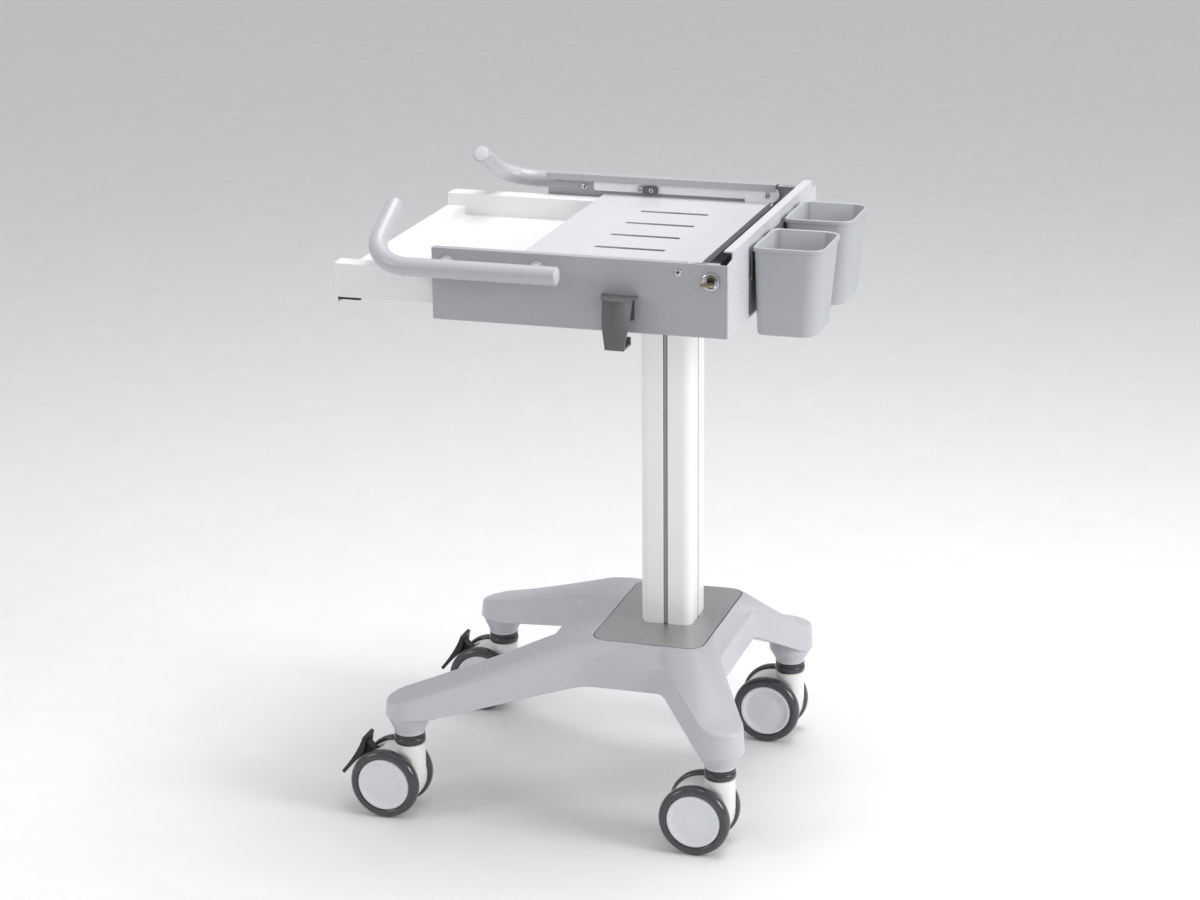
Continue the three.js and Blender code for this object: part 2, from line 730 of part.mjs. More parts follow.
function addCaster(group, end, sideName, side, casterY) {
  const x = side * CASTER_X;
  const axleY = casterY - TRAIL;
  const prefix = `${end}_${sideName}`;
  const braked = end === 'front';
  place(group, `${prefix}_caster_stem`, turned(STEM_PROFILE, 20, x, casterY), darkPlastic);
  place(group, `${prefix}_fork`, fork(x, casterY, braked), whiteCoat);
  place(group, `${prefix}_axle`, axle(x, axleY), steel);
  for (const [half, way] of [['outer', side], ['inner', -side]]) {
    place(group, `${prefix}_${half}_hub`, wheelPiece(HUB_PROFILE, way, x, axleY), hubPlastic);
    place(group, `${prefix}_${half}_tyre`, wheelPiece(TYRE_PROFILE, way, x, axleY), tyreRubber);
  }
  if (braked) place(group, `${prefix}_brake_pedal`, brakePedal(x), blackPlastic);
}

// ---------- head ----------

function housingPan() {
  const x = HOUSING_X - SHEET - GAP;
  const front = HOUSING_FRONT + SHEET + GAP;
  const rear = HOUSING_REAR - SHEET - GAP;
  const floor = box(-x, x, front, rear, HOUSING_LOW, HOUSING_LOW + SHEET);
  const behindHem = HOUSING_FRONT + HEM + 1; // clear of the closed drawer's turned-in edge
  const upstands = [-1, 1].map((side) =>
    sideBox(side, UPSTAND_X, UPSTAND_X + SHEET, behindHem, rear, HOUSING_LOW + 1, UPSTAND_TOP),
  );
  return join(floor, ...upstands);
}

function sidePanel(side) {
  const inner = HOUSING_X - SHEET;
  const outer = HOUSING_X - 1;
  const flange = HOUSING_X - FLANGE;
  const front = HOUSING_FRONT;
  const rear = HOUSING_REAR - SHEET - GAP;
  const panel = join(
    sideBox(side, inner, HOUSING_X, front, rear, HOUSING_LOW, WALL_TOP),
    sideBox(side, inner - 5, outer, front, front + SHEET, HOUSING_LOW, RETURN_TOP),
    sideBox(side, flange, outer, front, FLANGE_REAR, WALL_TOP - SHEET, WALL_TOP),
    sideBox(side, flange, flange + 1.5, front, FLANGE_REAR, WALL_TOP - 10, WALL_TOP - 1),
  );
  if (side < 0) return panel;
  const hole = cylinderAlongX(LOCK_BARREL_R + GAP, inner - 1, HOUSING_X + 1, LOCK_Y, LOCK_Z, 20);
  return cut(panel, hole);
}

// An upright plate whose corners step in above the side panels, with a flange along its top.
function rearPanel() {
  const corners = [
    [HOUSING_X, HOUSING_LOW],
    [HOUSING_X, WALL_TOP],
    [NOTCH_X + 2, WALL_TOP + 2],
    [NOTCH_X, WALL_TOP + 4],
    [NOTCH_X, REAR_TOP],
  ];
  const outline = [...corners, ...corners.map(([x, z]) => [-x, z]).reverse()];
  const shape = new THREE.Shape(outline.map(([x, z]) => new THREE.Vector2(x, z)));
  const geometry = new THREE.ExtrudeGeometry(shape, { depth: SHEET, bevelEnabled: false });
  geometry.rotateX(Math.PI / 2);
  geometry.translate(0, HOUSING_REAR, 0);
  const front = HOUSING_REAR - FLANGE - 0.5;
  const flange = box(-NOTCH_X, NOTCH_X, front, HOUSING_REAR - 1, REAR_TOP - SHEET, REAR_TOP);
  const vents = [-1, 1].flatMap((side) => VENT_ZS.map((z) => vent(side * VENT_X, z)));
  return cut(join(solid(geometry), flange), ...vents);
}

// A small round hole through the rear panel.
function vent(x, z) {
  const hole = turnedAboutX([[0, -3], [VENT_R, -3], [VENT_R, 3], [0, 3]], 8, 0, 0, 0);
  hole.rotateZ(Math.PI / 2);
  hole.translate(x, HOUSING_REAR - SHEET / 2, z);
  return solid(hole);
}

// A plate that hangs between the side panels by its turned-down edges, with a stop at the rear.
function laptopShelf() {
  const x = HOUSING_X - SHEET - GAP;
  const low = SHELF_LOW;
  const front = SHELF_FRONT;
  const rear = SHELF_REAR;
  const plate = box(-x, x, front, rear, low, low + SHEET);
  const stop = box(-NOTCH_X, NOTCH_X, rear - SHEET, rear, low + 1, low + SHELF_STOP);
  const edges = [-1, 1].map((side) => sideBox(side, x - SHEET, x, front, rear, low - SHELF_SKIRT, low + 1));
  const slots = SHELF_SLOT_XS.map((at) => box(at - 5, at + 5, ...SHELF_SLOT_YS, low - 1, low + 3));
  return cut(join(plate, stop, ...edges), ...slots);
}

// A trough behind the drawer for spare lead, with slots that ties go through.
function cableTray() {
  const x = UPSTAND_X - GAP;
  const front = SHELF_REAR + 4;
  const rear = HOUSING_REAR - SHEET - 2.5;
  const low = TRAY_LOW;
  const wall = TRAY_WALL;
  const inside = box(wall - x, x - wall, front + wall, rear - wall, low + SHEET, UPSTAND_TOP + 1);
  const slots = TIE_SLOT_XS.map((at) => box(at - 20, at + 20, front + 18, front + 26, low - 1, low + 4));
  return cut(box(-x, x, front, rear, low, UPSTAND_TOP), inside, ...slots);
}

// ---------- drawer ----------

const DRAWER_FRONT = HOUSING_FRONT - DRAWER_OPEN;
const DRAWER_REAR = DRAWER_FRONT + DRAWER_LENGTH;

// The drawer's outline seen from above, moved inwards all round the front and sides.
function drawerOutline(inset, rear) {
  const x = DRAWER_X - inset;
  const front = DRAWER_FRONT + inset;
  const radius = DRAWER_CORNER - inset;
  const shape = new THREE.Shape();
  shape.moveTo(x, rear);
  shape.lineTo(-x, rear);
  shape.absarc(radius - x, front + radius, radius, Math.PI, 1.5 * Math.PI);
  shape.absarc(x - radius, front + radius, radius, 1.5 * Math.PI, 2 * Math.PI);
  return shape;
}

// A tray whose side walls fold out and down over the slides, with a low palm rest along its front.
function drawerTray() {
  const inner = DRAWER_INNER_X;
  const wide = inner + 1;
  const front = DRAWER_FRONT;
  const rear = DRAWER_REAR;
  const rest = front + PALM_REST;
  const rails = cut(
    slab(drawerOutline(0, rear), SKIRT_LOW, DRAWER_TOP),
    slab(drawerOutline(SHEET, rear + 1), SKIRT_LOW - 1, DRAWER_TOP - SHEET),
    box(-wide, wide, front - 1, rear + 1, SKIRT_LOW - 1, DRAWER_TOP + 1),
  );
  const hem = cut(
    slab(drawerOutline(0, rear), FRONT_LOW, SKIRT_LOW + 1),
    slab(drawerOutline(SHEET, rear), FRONT_LOW + SHEET, SKIRT_LOW + 2),
    box(-DRAWER_X - 1, DRAWER_X + 1, front + HEM, rear + 1, FRONT_LOW - 1, SKIRT_LOW + 2),
  );
  const walls = [-1, 1].map((side) =>
    sideBox(side, inner, inner + SHEET, front, rear, SKIRT_LOW, DRAWER_TOP),
  );
  return join(
    rails,
    hem,
    ...walls,
    box(-wide, wide, front, front + SHEET, SKIRT_LOW, PALM_REST_TOP),
    box(-wide, wide, front, rest, PALM_REST_TOP - SHEET, PALM_REST_TOP),
    box(-wide, wide, rest - SHEET, rest, DRAWER_FLOOR, PALM_REST_TOP),
    box(-wide, wide, rest - SHEET, rear, DRAWER_FLOOR, DRAWER_FLOOR + SHEET),
    box(-wide, wide, rear - SHEET, rear, DRAWER_FLOOR, DRAWER_TOP),
  );
}

// A telescopic slide's members: the distance of the web's inner face from the middle, how far the lips stand
// out from it (inwards if negative), the member's lower and upper edges and how far it has run out as built.
const SLIDE_MEMBERS = [
  { name: 'outer', web: 227.2, lips: -7.2, low: 762, high: 800, out: 0 },
  { name: 'middle', web: 224.7, lips: -6.9, low: 765, high: 797, out: DRAWER_OPEN / 2 },
  { name: 'inner', web: 215.3, lips: 6.7, low: 769, high: 793, out: DRAWER_OPEN },
];

function slideMember(side, { web, lips, low, high, out }) {
  const front = SLIDE_FRONT - out;
  const rear = front + SLIDE_LENGTH;
  const near = lips < 0 ? web + lips : web;
  const far = lips < 0 ? web + SLIDE_SHEET : web + SLIDE_SHEET + lips;
  return join(
    sideBox(side, web, web + SLIDE_SHEET, front, rear, low, high),
    sideBox(side, near, far, front, rear, low, low + SLIDE_SHEET),
    sideBox(side, near, far, front, rear, high - SLIDE_SHEET, high),
  );
}

// ---------- handles ----------

// A quarter turn from the straight grip, inwards and upwards.
class HandleBend extends THREE.Curve {
  constructor(side) {
    super();
    this.start = new THREE.Vector3(side * HANDLE_X, HANDLE_BEND_Y, HANDLE_Z);
    this.inward = new THREE.Vector3(-side * Math.cos(HANDLE_RISE), 0, Math.sin(HANDLE_RISE));
    this.forward = new THREE.Vector3(0, -1, 0);
  }

  getPoint(t, target = new THREE.Vector3()) {
    const angle = (t * Math.PI) / 2;
    target.copy(this.start);
    target.addScaledVector(this.forward, HANDLE_BEND_R * Math.sin(angle));
    return target.addScaledVector(this.inward, HANDLE_BEND_R * (1 - Math.cos(angle)));
  }
}

function handle(side) {
  const bend = new HandleBend(side);
  const rear = new THREE.Vector3(side * HANDLE_X, HANDLE_REAR, HANDLE_Z);
  const bendEnd = bend.getPoint(1);
  const tip = bendEnd.clone().addScaledVector(bend.inward, HANDLE_END);
  const path = new THREE.CurvePath();
  path.add(new THREE.LineCurve3(rear, bend.start));
  path.add(bend);
  path.add(new THREE.LineCurve3(bendEnd, tip));
  const section = new THREE.Shape();
  section.absarc(0, 0, TUBE_R, 0, 2 * Math.PI);
  const tube = solid(new THREE.ExtrudeGeometry(section, { extrudePath: path, steps: 24, curveSegments: 6 }));
  const posts = POST_YS.map((y) => {
    const ends = [side * (HOUSING_X + GAP), side * HANDLE_X];
    return cylinderAlongX(POST_R, Math.min(...ends), Math.max(...ends), y, HANDLE_Z, 12);
  });
  return join(tube, ...posts);
}

// ---------- bins ----------

// A bin's outline at one height, counter-clockwise, its two rear corners rounder than those at the bracket.
function binLoop(x, half, front, rear, z, inset) {
  const shape = new THREE.Shape();
  const near = Math.max(1, BIN_BACK_CORNER - inset);
  const far = BIN_CORNER - inset;
  const y0 = front + inset;
  const y1 = rear - inset;
  const w = half - inset;
  shape.absarc(x + w - near, y0 + near, near, -Math.PI / 2, 0);
  shape.absarc(x + w - far, y1 - far, far, 0, Math.PI / 2);
  shape.absarc(x - w + far, y1 - far, far, Math.PI / 2, Math.PI);
  shape.absarc(x - w + near, y0 + near, near, Math.PI, 1.5 * Math.PI);
  return shape.getPoints(3).map((p) => [p.x, p.y, z]);
}

function bin(side) {
  const x = side * BIN_X;
  const low = BIN_TOP - BIN_TALL;
  const rear = BIN_BACK + BIN_DEPTH;
  const half = BIN_HALF - BIN_RIM;
  const bottomHalf = BIN_HALF - BIN_TAPER;
  const bottom = [x, bottomHalf, BIN_BACK + 4.5, rear - 12];
  const mouth = [x, half, BIN_BACK + BIN_RIM, rear - BIN_RIM];
  const tub = loft([
    binLoop(...bottom, low + BIN_WALL, BIN_WALL),
    binLoop(...mouth, BIN_TOP, BIN_WALL),
    binLoop(x, BIN_HALF, BIN_BACK, rear, BIN_TOP, 0),
    binLoop(x, BIN_HALF, BIN_BACK, rear, BIN_TOP - 6, 0),
    binLoop(...mouth, BIN_TOP - 6, 0),
    binLoop(...bottom, low, 0),
  ]);
  const x0 = x - TAB_HALF;
  const x1 = x + TAB_HALF;
  const top = BRACKET_TOP + 2.6;
  const bridge = box(x0, x1, BRACKET_LIP_Y, BIN_BACK + 2.5, BRACKET_TOP + 0.6, top);
  const tab = box(x0, x1, BRACKET_LIP_Y, BRACKET_LIP_Y + 1.6, BRACKET_TOP - 12, top);
  return join(tub, bridge, tab);
}

// A strip screwed to the rear panel whose upper part steps out, so that the bins' tabs drop in behind it.
function binBracket() {
  const half = BRACKET_HALF;
  const face = HOUSING_REAR + GAP;
  const step = BRACKET_STEP;
  return join(
    box(-half, half, face, face + 2, HOUSING_LOW + 5, step + 4),
    box(-half, half, face + 2.2, face + 4, step, BRACKET_TOP),
    box(-half, half, face, face + 4, step, step + 4),
  );
}

// ---------- hook ----------

// One level of the hook's curved front plate: half its width, its depth at the edges and at the middle.
function hookLoop(z, half, edge, middle) {
  const arc = (inset) =>
    new THREE.QuadraticBezierCurve(
      new THREE.Vector2(edge - inset, HOOK_Y - half),
      new THREE.Vector2(2 * middle - edge - inset, HOOK_Y),
      new THREE.Vector2(edge - inset, HOOK_Y + half),
    ).getPoints(8);
  return [...arc(0), ...arc(HOOK_SHEET).reverse()].map((p) => [p.x, p.y, z]);
}

function sideHook() {
  const wall = HOUSING_X + GAP;
  const low = HOOK_TOP - HOOK_TALL;
  const cap = new THREE.Shape();
  cap.absellipse(wall, HOOK_Y, HOOK_REACH, HOOK_HALF, -Math.PI / 2, Math.PI / 2);
  return join(
    slab(cap, HOOK_TOP - HOOK_SHEET, HOOK_TOP, 8),
    loft([
      hookLoop(HOOK_TOP - 2, HOOK_HALF - 2.5, 267, 286),
      hookLoop(HOOK_TOP - 36, 18.5, 276, 285),
      hookLoop(HOOK_TOP - 61, 14, 281, 283),
      hookLoop(low, HOOK_FOOT_HALF, 281, 281.5),
    ]),
    box(247, 280.5, HOOK_Y - HOOK_FOOT_HALF, HOOK_Y + HOOK_FOOT_HALF, low, low + HOOK_SHEET),
    box(247, 250, HOOK_Y - HOOK_FOOT_HALF, HOOK_Y + HOOK_FOOT_HALF, low, low + 11),
    box(wall, wall + 2.5, HOOK_Y - 20, HOOK_Y + 20, HOOK_TOP - 34, HOOK_TOP - 1),
  );
}

// ---------- lock ----------

const CAM_X = 229;
const CAM_SEAT = 4;
const CAM_PIN_R = 2.5;
const CAM_REACH = 20;
const BARREL_END = 236;
const KEYWAY_END = 243;
const KEYWAY_Y = 3.9;
const KEYWAY_Z = 1.35;
const KEY_R = 9;

function lockBody() {
  const face = HOUSING_X + GAP;
  const bore = LOCK_PLUG_R + GAP;
  const profile = [
    [bore, BARREL_END],
    [LOCK_BARREL_R, BARREL_END],
    [LOCK_BARREL_R, face],
    [LOCK_RING_R, face],
    [LOCK_RING_R, face + 3],
    [LOCK_RING_R - 1, face + 4.2],
    [8.2, face + 4.2],
    [7.7, face + 2.6],
    [bore, face + 2.6],
    [bore, BARREL_END],
  ];
  return turnedAboutX(profile, 18, 0, LOCK_Y, LOCK_Z);
}

function lockPlug() {
  const face = HOUSING_X + 3.4;
  const shoulder = CAM_X + CAM_SEAT;
  const profile = [
    [0, CAM_X],
    [CAM_PIN_R, CAM_X],
    [CAM_PIN_R, shoulder],
    [LOCK_PLUG_R, shoulder],
    [LOCK_PLUG_R, face],
    [0, face],
  ];
  const y = KEYWAY_Y;
  const z = KEYWAY_Z;
  const keyway = box(KEYWAY_END, face + 1, LOCK_Y - y, LOCK_Y + y, LOCK_Z - z, LOCK_Z + z);
  return cut(solid(turnedAboutX(profile, 20, 0, LOCK_Y, LOCK_Z)), keyway);
}

function lockCam() {
  const arm = new THREE.Shape();
  arm.absarc(0, 0, 6, Math.PI / 2, -Math.PI / 2, true);
  arm.lineTo(-CAM_REACH, -4);
  arm.lineTo(-CAM_REACH, 4);
  arm.closePath();
  const outline = arm.getPoints(6).map((p) => [LOCK_Y + p.x, LOCK_Z + p.y]);
  return cut(
    profileAlongX(outline, CAM_X, CAM_X + CAM_SEAT - GAP),
    cylinderAlongX(CAM_PIN_R + GAP, CAM_X - 1, CAM_X + 5, LOCK_Y, LOCK_Z, 12),
  );
}

function lockKey() {
  const bowX = HOUSING_X + 20;
  const bow = new THREE.Shape();
  bow.absarc(bowX, LOCK_Y, KEY_R, 0, 2 * Math.PI);
  const hole = new THREE.Path();
  hole.absarc(bowX + 4, LOCK_Y, 2, 0, 2 * Math.PI, true);
  bow.holes.push(hole);
  return join(
    slab(bow, LOCK_Z - 1, LOCK_Z + 1, 8),
    box(KEYWAY_END + 1, bowX - 6, LOCK_Y - 3.5, LOCK_Y + 3.5, LOCK_Z - 1, LOCK_Z + 1),
  );
}

// ---------- assembly ----------

const cart = new THREE.Group();
cart.position.y = -MIDDLE_Y;

place(cart, 'base_frame', baseFrame(), steel);
place(cart, 'base_cover', baseCover(), coverPlastic);
place(cart, 'base_plate', basePlate(), brushedPlate);
for (const [sideName, side] of SIDES) {
  addCaster(cart, 'front', sideName, side, CASTER_FRONT_Y);
  addCaster(cart, 'rear', sideName, side, CASTER_REAR_Y);
}

place(cart, 'column', column(), whiteCoat);
place(cart, 'column_head', columnHead(), steel);
place(cart, 'housing_pan', housingPan(), whiteCoat);
place(cart, 'rear_panel', rearPanel(), paleCoat);
place(cart, 'laptop_shelf', laptopShelf(), paleCoat);
place(cart, 'cable_tray', cableTray(), blackPlastic);
place(cart, 'drawer_tray', drawerTray(), whiteCoat);
place(cart, 'bin_bracket', binBracket(), darkPlastic);
for (const [sideName, side] of SIDES) {
  place(cart, `column_strip_${sideName}`, columnStrip(side), stripGrey);
  place(cart, `side_panel_${sideName}`, sidePanel(side), greyCoat);
  place(cart, `handle_${sideName}`, handle(side), greyCoat);
  place(cart, `bin_${sideName}`, bin(side), binPlastic);
  for (const member of SLIDE_MEMBERS) {
    place(cart, `slide_${member.name}_${sideName}`, slideMember(side, member), steel);
  }
}

place(cart, 'side_hook', sideHook(), darkPlastic);
place(cart, 'lock_body', lockBody(), chrome);
place(cart, 'lock_plug', lockPlug(), blackPlastic);
place(cart, 'lock_cam', lockCam(), steel);
place(cart, 'lock_key', lockKey(), brass);

export default cart;
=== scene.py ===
"""Looks of a hospital laptop workstation cart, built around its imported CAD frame.

Sizes are millimetres from the column's axis on the floor: +X is the user's right, +Y the rear and +Z up.
`at` turns them into the frame's metres.
"""

import json
import math

import bmesh
import bpy
from mathutils import Matrix, Quaternion, Vector


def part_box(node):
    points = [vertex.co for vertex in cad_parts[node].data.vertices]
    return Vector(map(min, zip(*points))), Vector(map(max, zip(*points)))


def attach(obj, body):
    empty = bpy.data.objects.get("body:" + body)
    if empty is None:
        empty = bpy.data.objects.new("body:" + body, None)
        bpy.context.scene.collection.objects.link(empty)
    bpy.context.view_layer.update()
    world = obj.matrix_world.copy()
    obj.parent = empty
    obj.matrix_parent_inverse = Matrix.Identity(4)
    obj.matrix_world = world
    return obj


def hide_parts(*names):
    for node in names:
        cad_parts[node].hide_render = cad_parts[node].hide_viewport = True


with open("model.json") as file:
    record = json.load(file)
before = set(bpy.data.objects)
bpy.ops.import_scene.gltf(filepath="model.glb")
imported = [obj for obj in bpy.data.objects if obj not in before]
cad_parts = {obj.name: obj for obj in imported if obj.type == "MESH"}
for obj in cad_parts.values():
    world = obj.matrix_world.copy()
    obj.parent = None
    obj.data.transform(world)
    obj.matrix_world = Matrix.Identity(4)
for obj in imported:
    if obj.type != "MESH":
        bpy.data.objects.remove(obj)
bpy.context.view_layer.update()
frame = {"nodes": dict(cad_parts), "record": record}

MM = 0.001
COLUMN_LOW, COLUMN_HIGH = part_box("column")
AXIS_Y = (COLUMN_LOW.y + COLUMN_HIGH.y) / 2
SIDES = {"left": -1, "right": 1}
ENDS = ("front", "rear")


def at(x, y, z):
    return Vector((x * MM, AXIS_Y + y * MM, z * MM))


def span(node):
    """A CAD node's lowest and highest corners in millimetres from the column's axis."""
    low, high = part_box(node)
    shift = Vector((0, AXIS_Y, 0))
    return (low - shift) / MM, (high - shift) / MM


def middle(node):
    low, high = span(node)
    return (low + high) / 2


# ---------- materials ----------


def lighter(colour, factor):
    return (*(min(1.0, c * factor) for c in colour), 1.0)


class Finish:
    """A procedural material: grain that bumps the surface, and slow variation of its colour and gloss."""

    def __init__(self, name, colour, roughness, metallic=0.0):
        self.material = bpy.data.materials.new(name)
        self.material.use_nodes = True
        self.nodes = self.material.node_tree.nodes
        self.links = self.material.node_tree.links
        self.shader = self.nodes["Principled BSDF"]
        self.shader.inputs["Metallic"].default_value = metallic
        self.colour = colour
        self.roughness = roughness
        self.position = self.nodes.new("ShaderNodeTexCoord").outputs["Object"]

    def set(self, **sockets):
        for name, value in sockets.items():
            self.shader.inputs[name.replace("_", " ")].default_value = value
        return self

    def noise(self, size_mm, detail=2.0, stretch=(1, 1, 1), distortion=0.0):
        """Noise with features of this size, drawn out along an axis by a stretch over 1."""
        place = self.nodes.new("ShaderNodeMapping")
        place.inputs["Scale"].default_value = [1 / s for s in stretch]
        self.links.new(self.position, place.inputs["Vector"])
        texture = self.nodes.new("ShaderNodeTexNoise")
        texture.inputs["Scale"].default_value = 1 / (size_mm * MM)
        texture.inputs["Detail"].default_value = detail
        texture.inputs["Distortion"].default_value = distortion
        self.links.new(place.outputs["Vector"], texture.inputs["Vector"])
        return texture.outputs["Fac"]

    def ranged(self, value, low, high, source=(0.3, 0.7)):
        node = self.nodes.new("ShaderNodeMapRange")
        node.inputs["From Min"].default_value, node.inputs["From Max"].default_value = source
        node.inputs["To Min"].default_value, node.inputs["To Max"].default_value = low, high
        self.links.new(value, node.inputs["Value"])
        return node.outputs["Result"]

    def mottled(self, size_mm, depth, stretch=(1, 1, 1)):
        """The colour drifts by `depth` either way."""
        mix = self.nodes.new("ShaderNodeMix")
        mix.data_type = "RGBA"
        mix.inputs["A"].default_value = lighter(self.colour, 1 - depth)
        mix.inputs["B"].default_value = lighter(self.colour, 1 + depth)
        self.links.new(self.ranged(self.noise(size_mm, 3, stretch), 0, 1), mix.inputs["Factor"])
        self.links.new(mix.outputs["Result"], self.shader.inputs["Base Color"])
        return self

    def glossed(self, size_mm, spread, stretch=(1, 1, 1)):
        """The roughness drifts by `spread` either way."""
        drift = self.noise(size_mm, 3, stretch)
        result = self.ranged(drift, self.roughness - spread, self.roughness + spread)
        self.links.new(result, self.shader.inputs["Roughness"])
        return self

    def grained(self, size_mm, depth_mm, stretch=(1, 1, 1), strength=0.5, detail=2.0):
        bump = self.nodes.new("ShaderNodeBump")
        bump.inputs["Strength"].default_value = strength
        bump.inputs["Distance"].default_value = depth_mm * MM
        self.links.new(self.noise(size_mm, detail, stretch), bump.inputs["Height"])
        earlier = self.shader.inputs["Normal"].links
        if earlier:
            self.links.new(earlier[0].from_socket, bump.inputs["Normal"])
        self.links.new(bump.outputs["Normal"], self.shader.inputs["Normal"])
        return self


def powder_coat(name, colour, roughness=0.42):
    """Sprayed and baked coating: a shallow orange-peel swell with a fine grit over it."""
    finish = Finish(name, colour, roughness)
    finish.mottled(90, 0.012).glossed(35, 0.05)
    finish.grained(3.2, 0.05, strength=0.25).grained(0.7, 0.03, strength=0.35)
    return finish.set(Specular_IOR_Level=0.5, Coat_Weight=0.12, Coat_Roughness=0.25).material


def moulded(name, colour, roughness, grain_mm=0.6, grain_depth=0.05, coat=0.0):
    """Injection-moulded plastic with a spark-eroded texture."""
    finish = Finish(name, colour, roughness)
    finish.mottled(120, 0.015).glossed(50, 0.04)
    finish.grained(grain_mm, grain_depth, strength=0.4, detail=4)
    return finish.set(Specular_IOR_Level=0.45, Coat_Weight=coat, Coat_Roughness=0.15).material


def brushed(name, colour, roughness, along):
    """Metal with fine scratches drawn out along one axis."""
    finish = Finish(name, colour, roughness, metallic=0.9)
    finish.mottled(1.2, 0.06, along).glossed(0.9, 0.07, along)
    finish.grained(0.5, 0.02, along, strength=0.5, detail=4)
    return finish.set(Anisotropic=0.5).material


def plated(name, colour, roughness, metallic=1.0):
    """Bright plating with faint clouding and small scratches."""
    finish = Finish(name, colour, roughness, metallic)
    finish.mottled(14, 0.05).glossed(6, roughness * 0.4)
    finish.grained(0.8, 0.01, (1, 1, 9), strength=0.3)
    return finish.material


def rubber(name, colour):
    """Polyurethane tread: glossy flanks with faint turned rings and dulled patches where it rolls."""
    finish = Finish(name, colour, 0.2)
    finish.mottled(40, 0.04).glossed(16, 0.04)
    finish.grained(1.6, 0.02, strength=0.15)
    return finish.set(Specular_IOR_Level=0.6, Coat_Weight=0.25, Coat_Roughness=0.12).material


ALONG_X = (60, 1, 1)

MATERIALS = {
    "cover_plastic": moulded("cover_plastic", (0.53, 0.53, 0.56), 0.36, 0.8, 0.04, coat=0.1),
    "frame_steel": plated("frame_steel", (0.5, 0.51, 0.52), 0.3),
    "brushed_plate": brushed("brushed_plate", (0.5, 0.5, 0.5), 0.4, ALONG_X),
    "caster_white": moulded("caster_white", (0.84, 0.83, 0.81), 0.33, 1.5, 0.02, coat=0.3),
    "hub_plastic": moulded("hub_plastic", (0.74, 0.745, 0.76), 0.4, 1.0, 0.03, coat=0.15),
    "tyre_rubber": rubber("tyre_rubber", (0.046, 0.046, 0.052)),
    "black_plastic": moulded("black_plastic", (0.02, 0.02, 0.022), 0.36, 0.7, 0.05),
    "column_white": powder_coat("column_white", (0.86, 0.86, 0.865), 0.34),
    "strip_grey": moulded("strip_grey", (0.3, 0.3, 0.305), 0.5, 0.5, 0.03),
    "white_coat": powder_coat("white_coat", (0.8, 0.8, 0.805), 0.38),
    "grey_coat": powder_coat("grey_coat", (0.4, 0.405, 0.425), 0.34),
    "handle_coat": powder_coat("handle_coat", (0.47, 0.475, 0.5), 0.3),
    "pale_coat": powder_coat("pale_coat", (0.6, 0.595, 0.63), 0.4),
    "bin_plastic": moulded("bin_plastic", (0.42, 0.43, 0.445), 0.34, 1.0, 0.03, coat=0.15),
    "dark_coat": moulded("dark_coat", (0.115, 0.115, 0.12), 0.4, 0.8, 0.04),
    "chrome": plated("chrome", (0.6, 0.6, 0.62), 0.1),
    "brass": plated("brass", (0.36, 0.3, 0.18), 0.26),
}
COLLAR_BLACK = moulded("collar_black", (0.045, 0.045, 0.05), 0.25, 1.5, 0.02, coat=0.2)
# Near-black that paints the shade in screw crosses, in the slit round the base plate and in the column's
# slot gaps; it is also the skirt trims' own dark colour.
SHADE_AND_TRIM_BLACK = moulded("shade_and_trim_black", (0.012, 0.012, 0.013), 0.5, 0.6, 0.04)
END_PLUG = moulded("end_plug", (0.58, 0.58, 0.61), 0.42, 0.8, 0.03)
GUIDE_WHITE = moulded("guide_white", (0.85, 0.85, 0.85), 0.3, 1.0, 0.02, coat=0.2)
NODE_SLOT = {part["node"]: part["material_slot"] for part in frame["record"]["subparts"]}


# ---------- outlines and solids ----------


def arc(cx, cy, radius, start, end, parts):
    """Points on a circle from one angle to another, in degrees, both ends included."""
    steps = [math.radians(start + (end - start) * i / parts) for i in range(parts + 1)]
    return [(cx + radius * math.cos(a), cy + radius * math.sin(a)) for a in steps]


def rounded_rectangle(half, y0, y1, radius, parts=10, rear_radius=None):
    """Counter-clockwise, starting at the front right corner."""
    rear = radius if rear_radius is None else rear_radius
    return [
        *arc(half - radius, y0 + radius, radius, -90, 0, parts),
        *arc(half - rear, y1 - rear, rear, 0, 90, parts),
        *arc(rear - half, y1 - rear, rear, 90, 180, parts),
        *arc(radius - half, y0 + radius, radius, 180, 270, parts),
    ]


def softened(points, radius, parts=4, closed=True):
    """A polygon with its corners turned into short curves that leave the corner by up to `radius`."""
    result = []
    count = len(points)
    for i, corner in enumerate(points):
        if not closed and i in (0, count - 1):
            result.append(tuple(corner))
            continue
        here = Vector(corner)
        before, after = Vector(points[i - 1]), Vector(points[(i + 1) % count])
        a = here + (before - here).normalized() * min(radius, (before - here).length * 0.45)
        b = here + (after - here).normalized() * min(radius, (after - here).length * 0.45)
        for k in range(parts + 1):
            t = k / parts
            result.append(tuple(a * (1 - t) ** 2 + here * 2 * t * (1 - t) + b * t * t))
    return result


def skin(loops, ring=False):
    """Vertices and faces of equal closed loops joined in order, capped unless they form a ring."""
    count = len(loops[0])
    vertices = [p for loop in loops for p in loop]
    faces = []
    for k in range(len(loops) if ring else len(loops) - 1):
        near, far = k * count, (k + 1) % len(loops) * count
        for i in range(count):
            j = (i + 1) % count
            faces.append((near + i, near + j, far + j, far + i))
    if not ring:
        last = (len(loops) - 1) * count
        faces.append(tuple(reversed(range(count))))
        faces.append(tuple(range(last, last + count)))
    return vertices, faces


def along_x(u, v, w):
    """Places an outline drawn in Y and Z at distance w along X."""
    return (w, u, v)


def along_z(u, v, w):
    return (u, v, w)


def prism(outline, low, high, place=along_z):
    return skin([[place(u, v, w) for u, v in outline] for w in (low, high)])


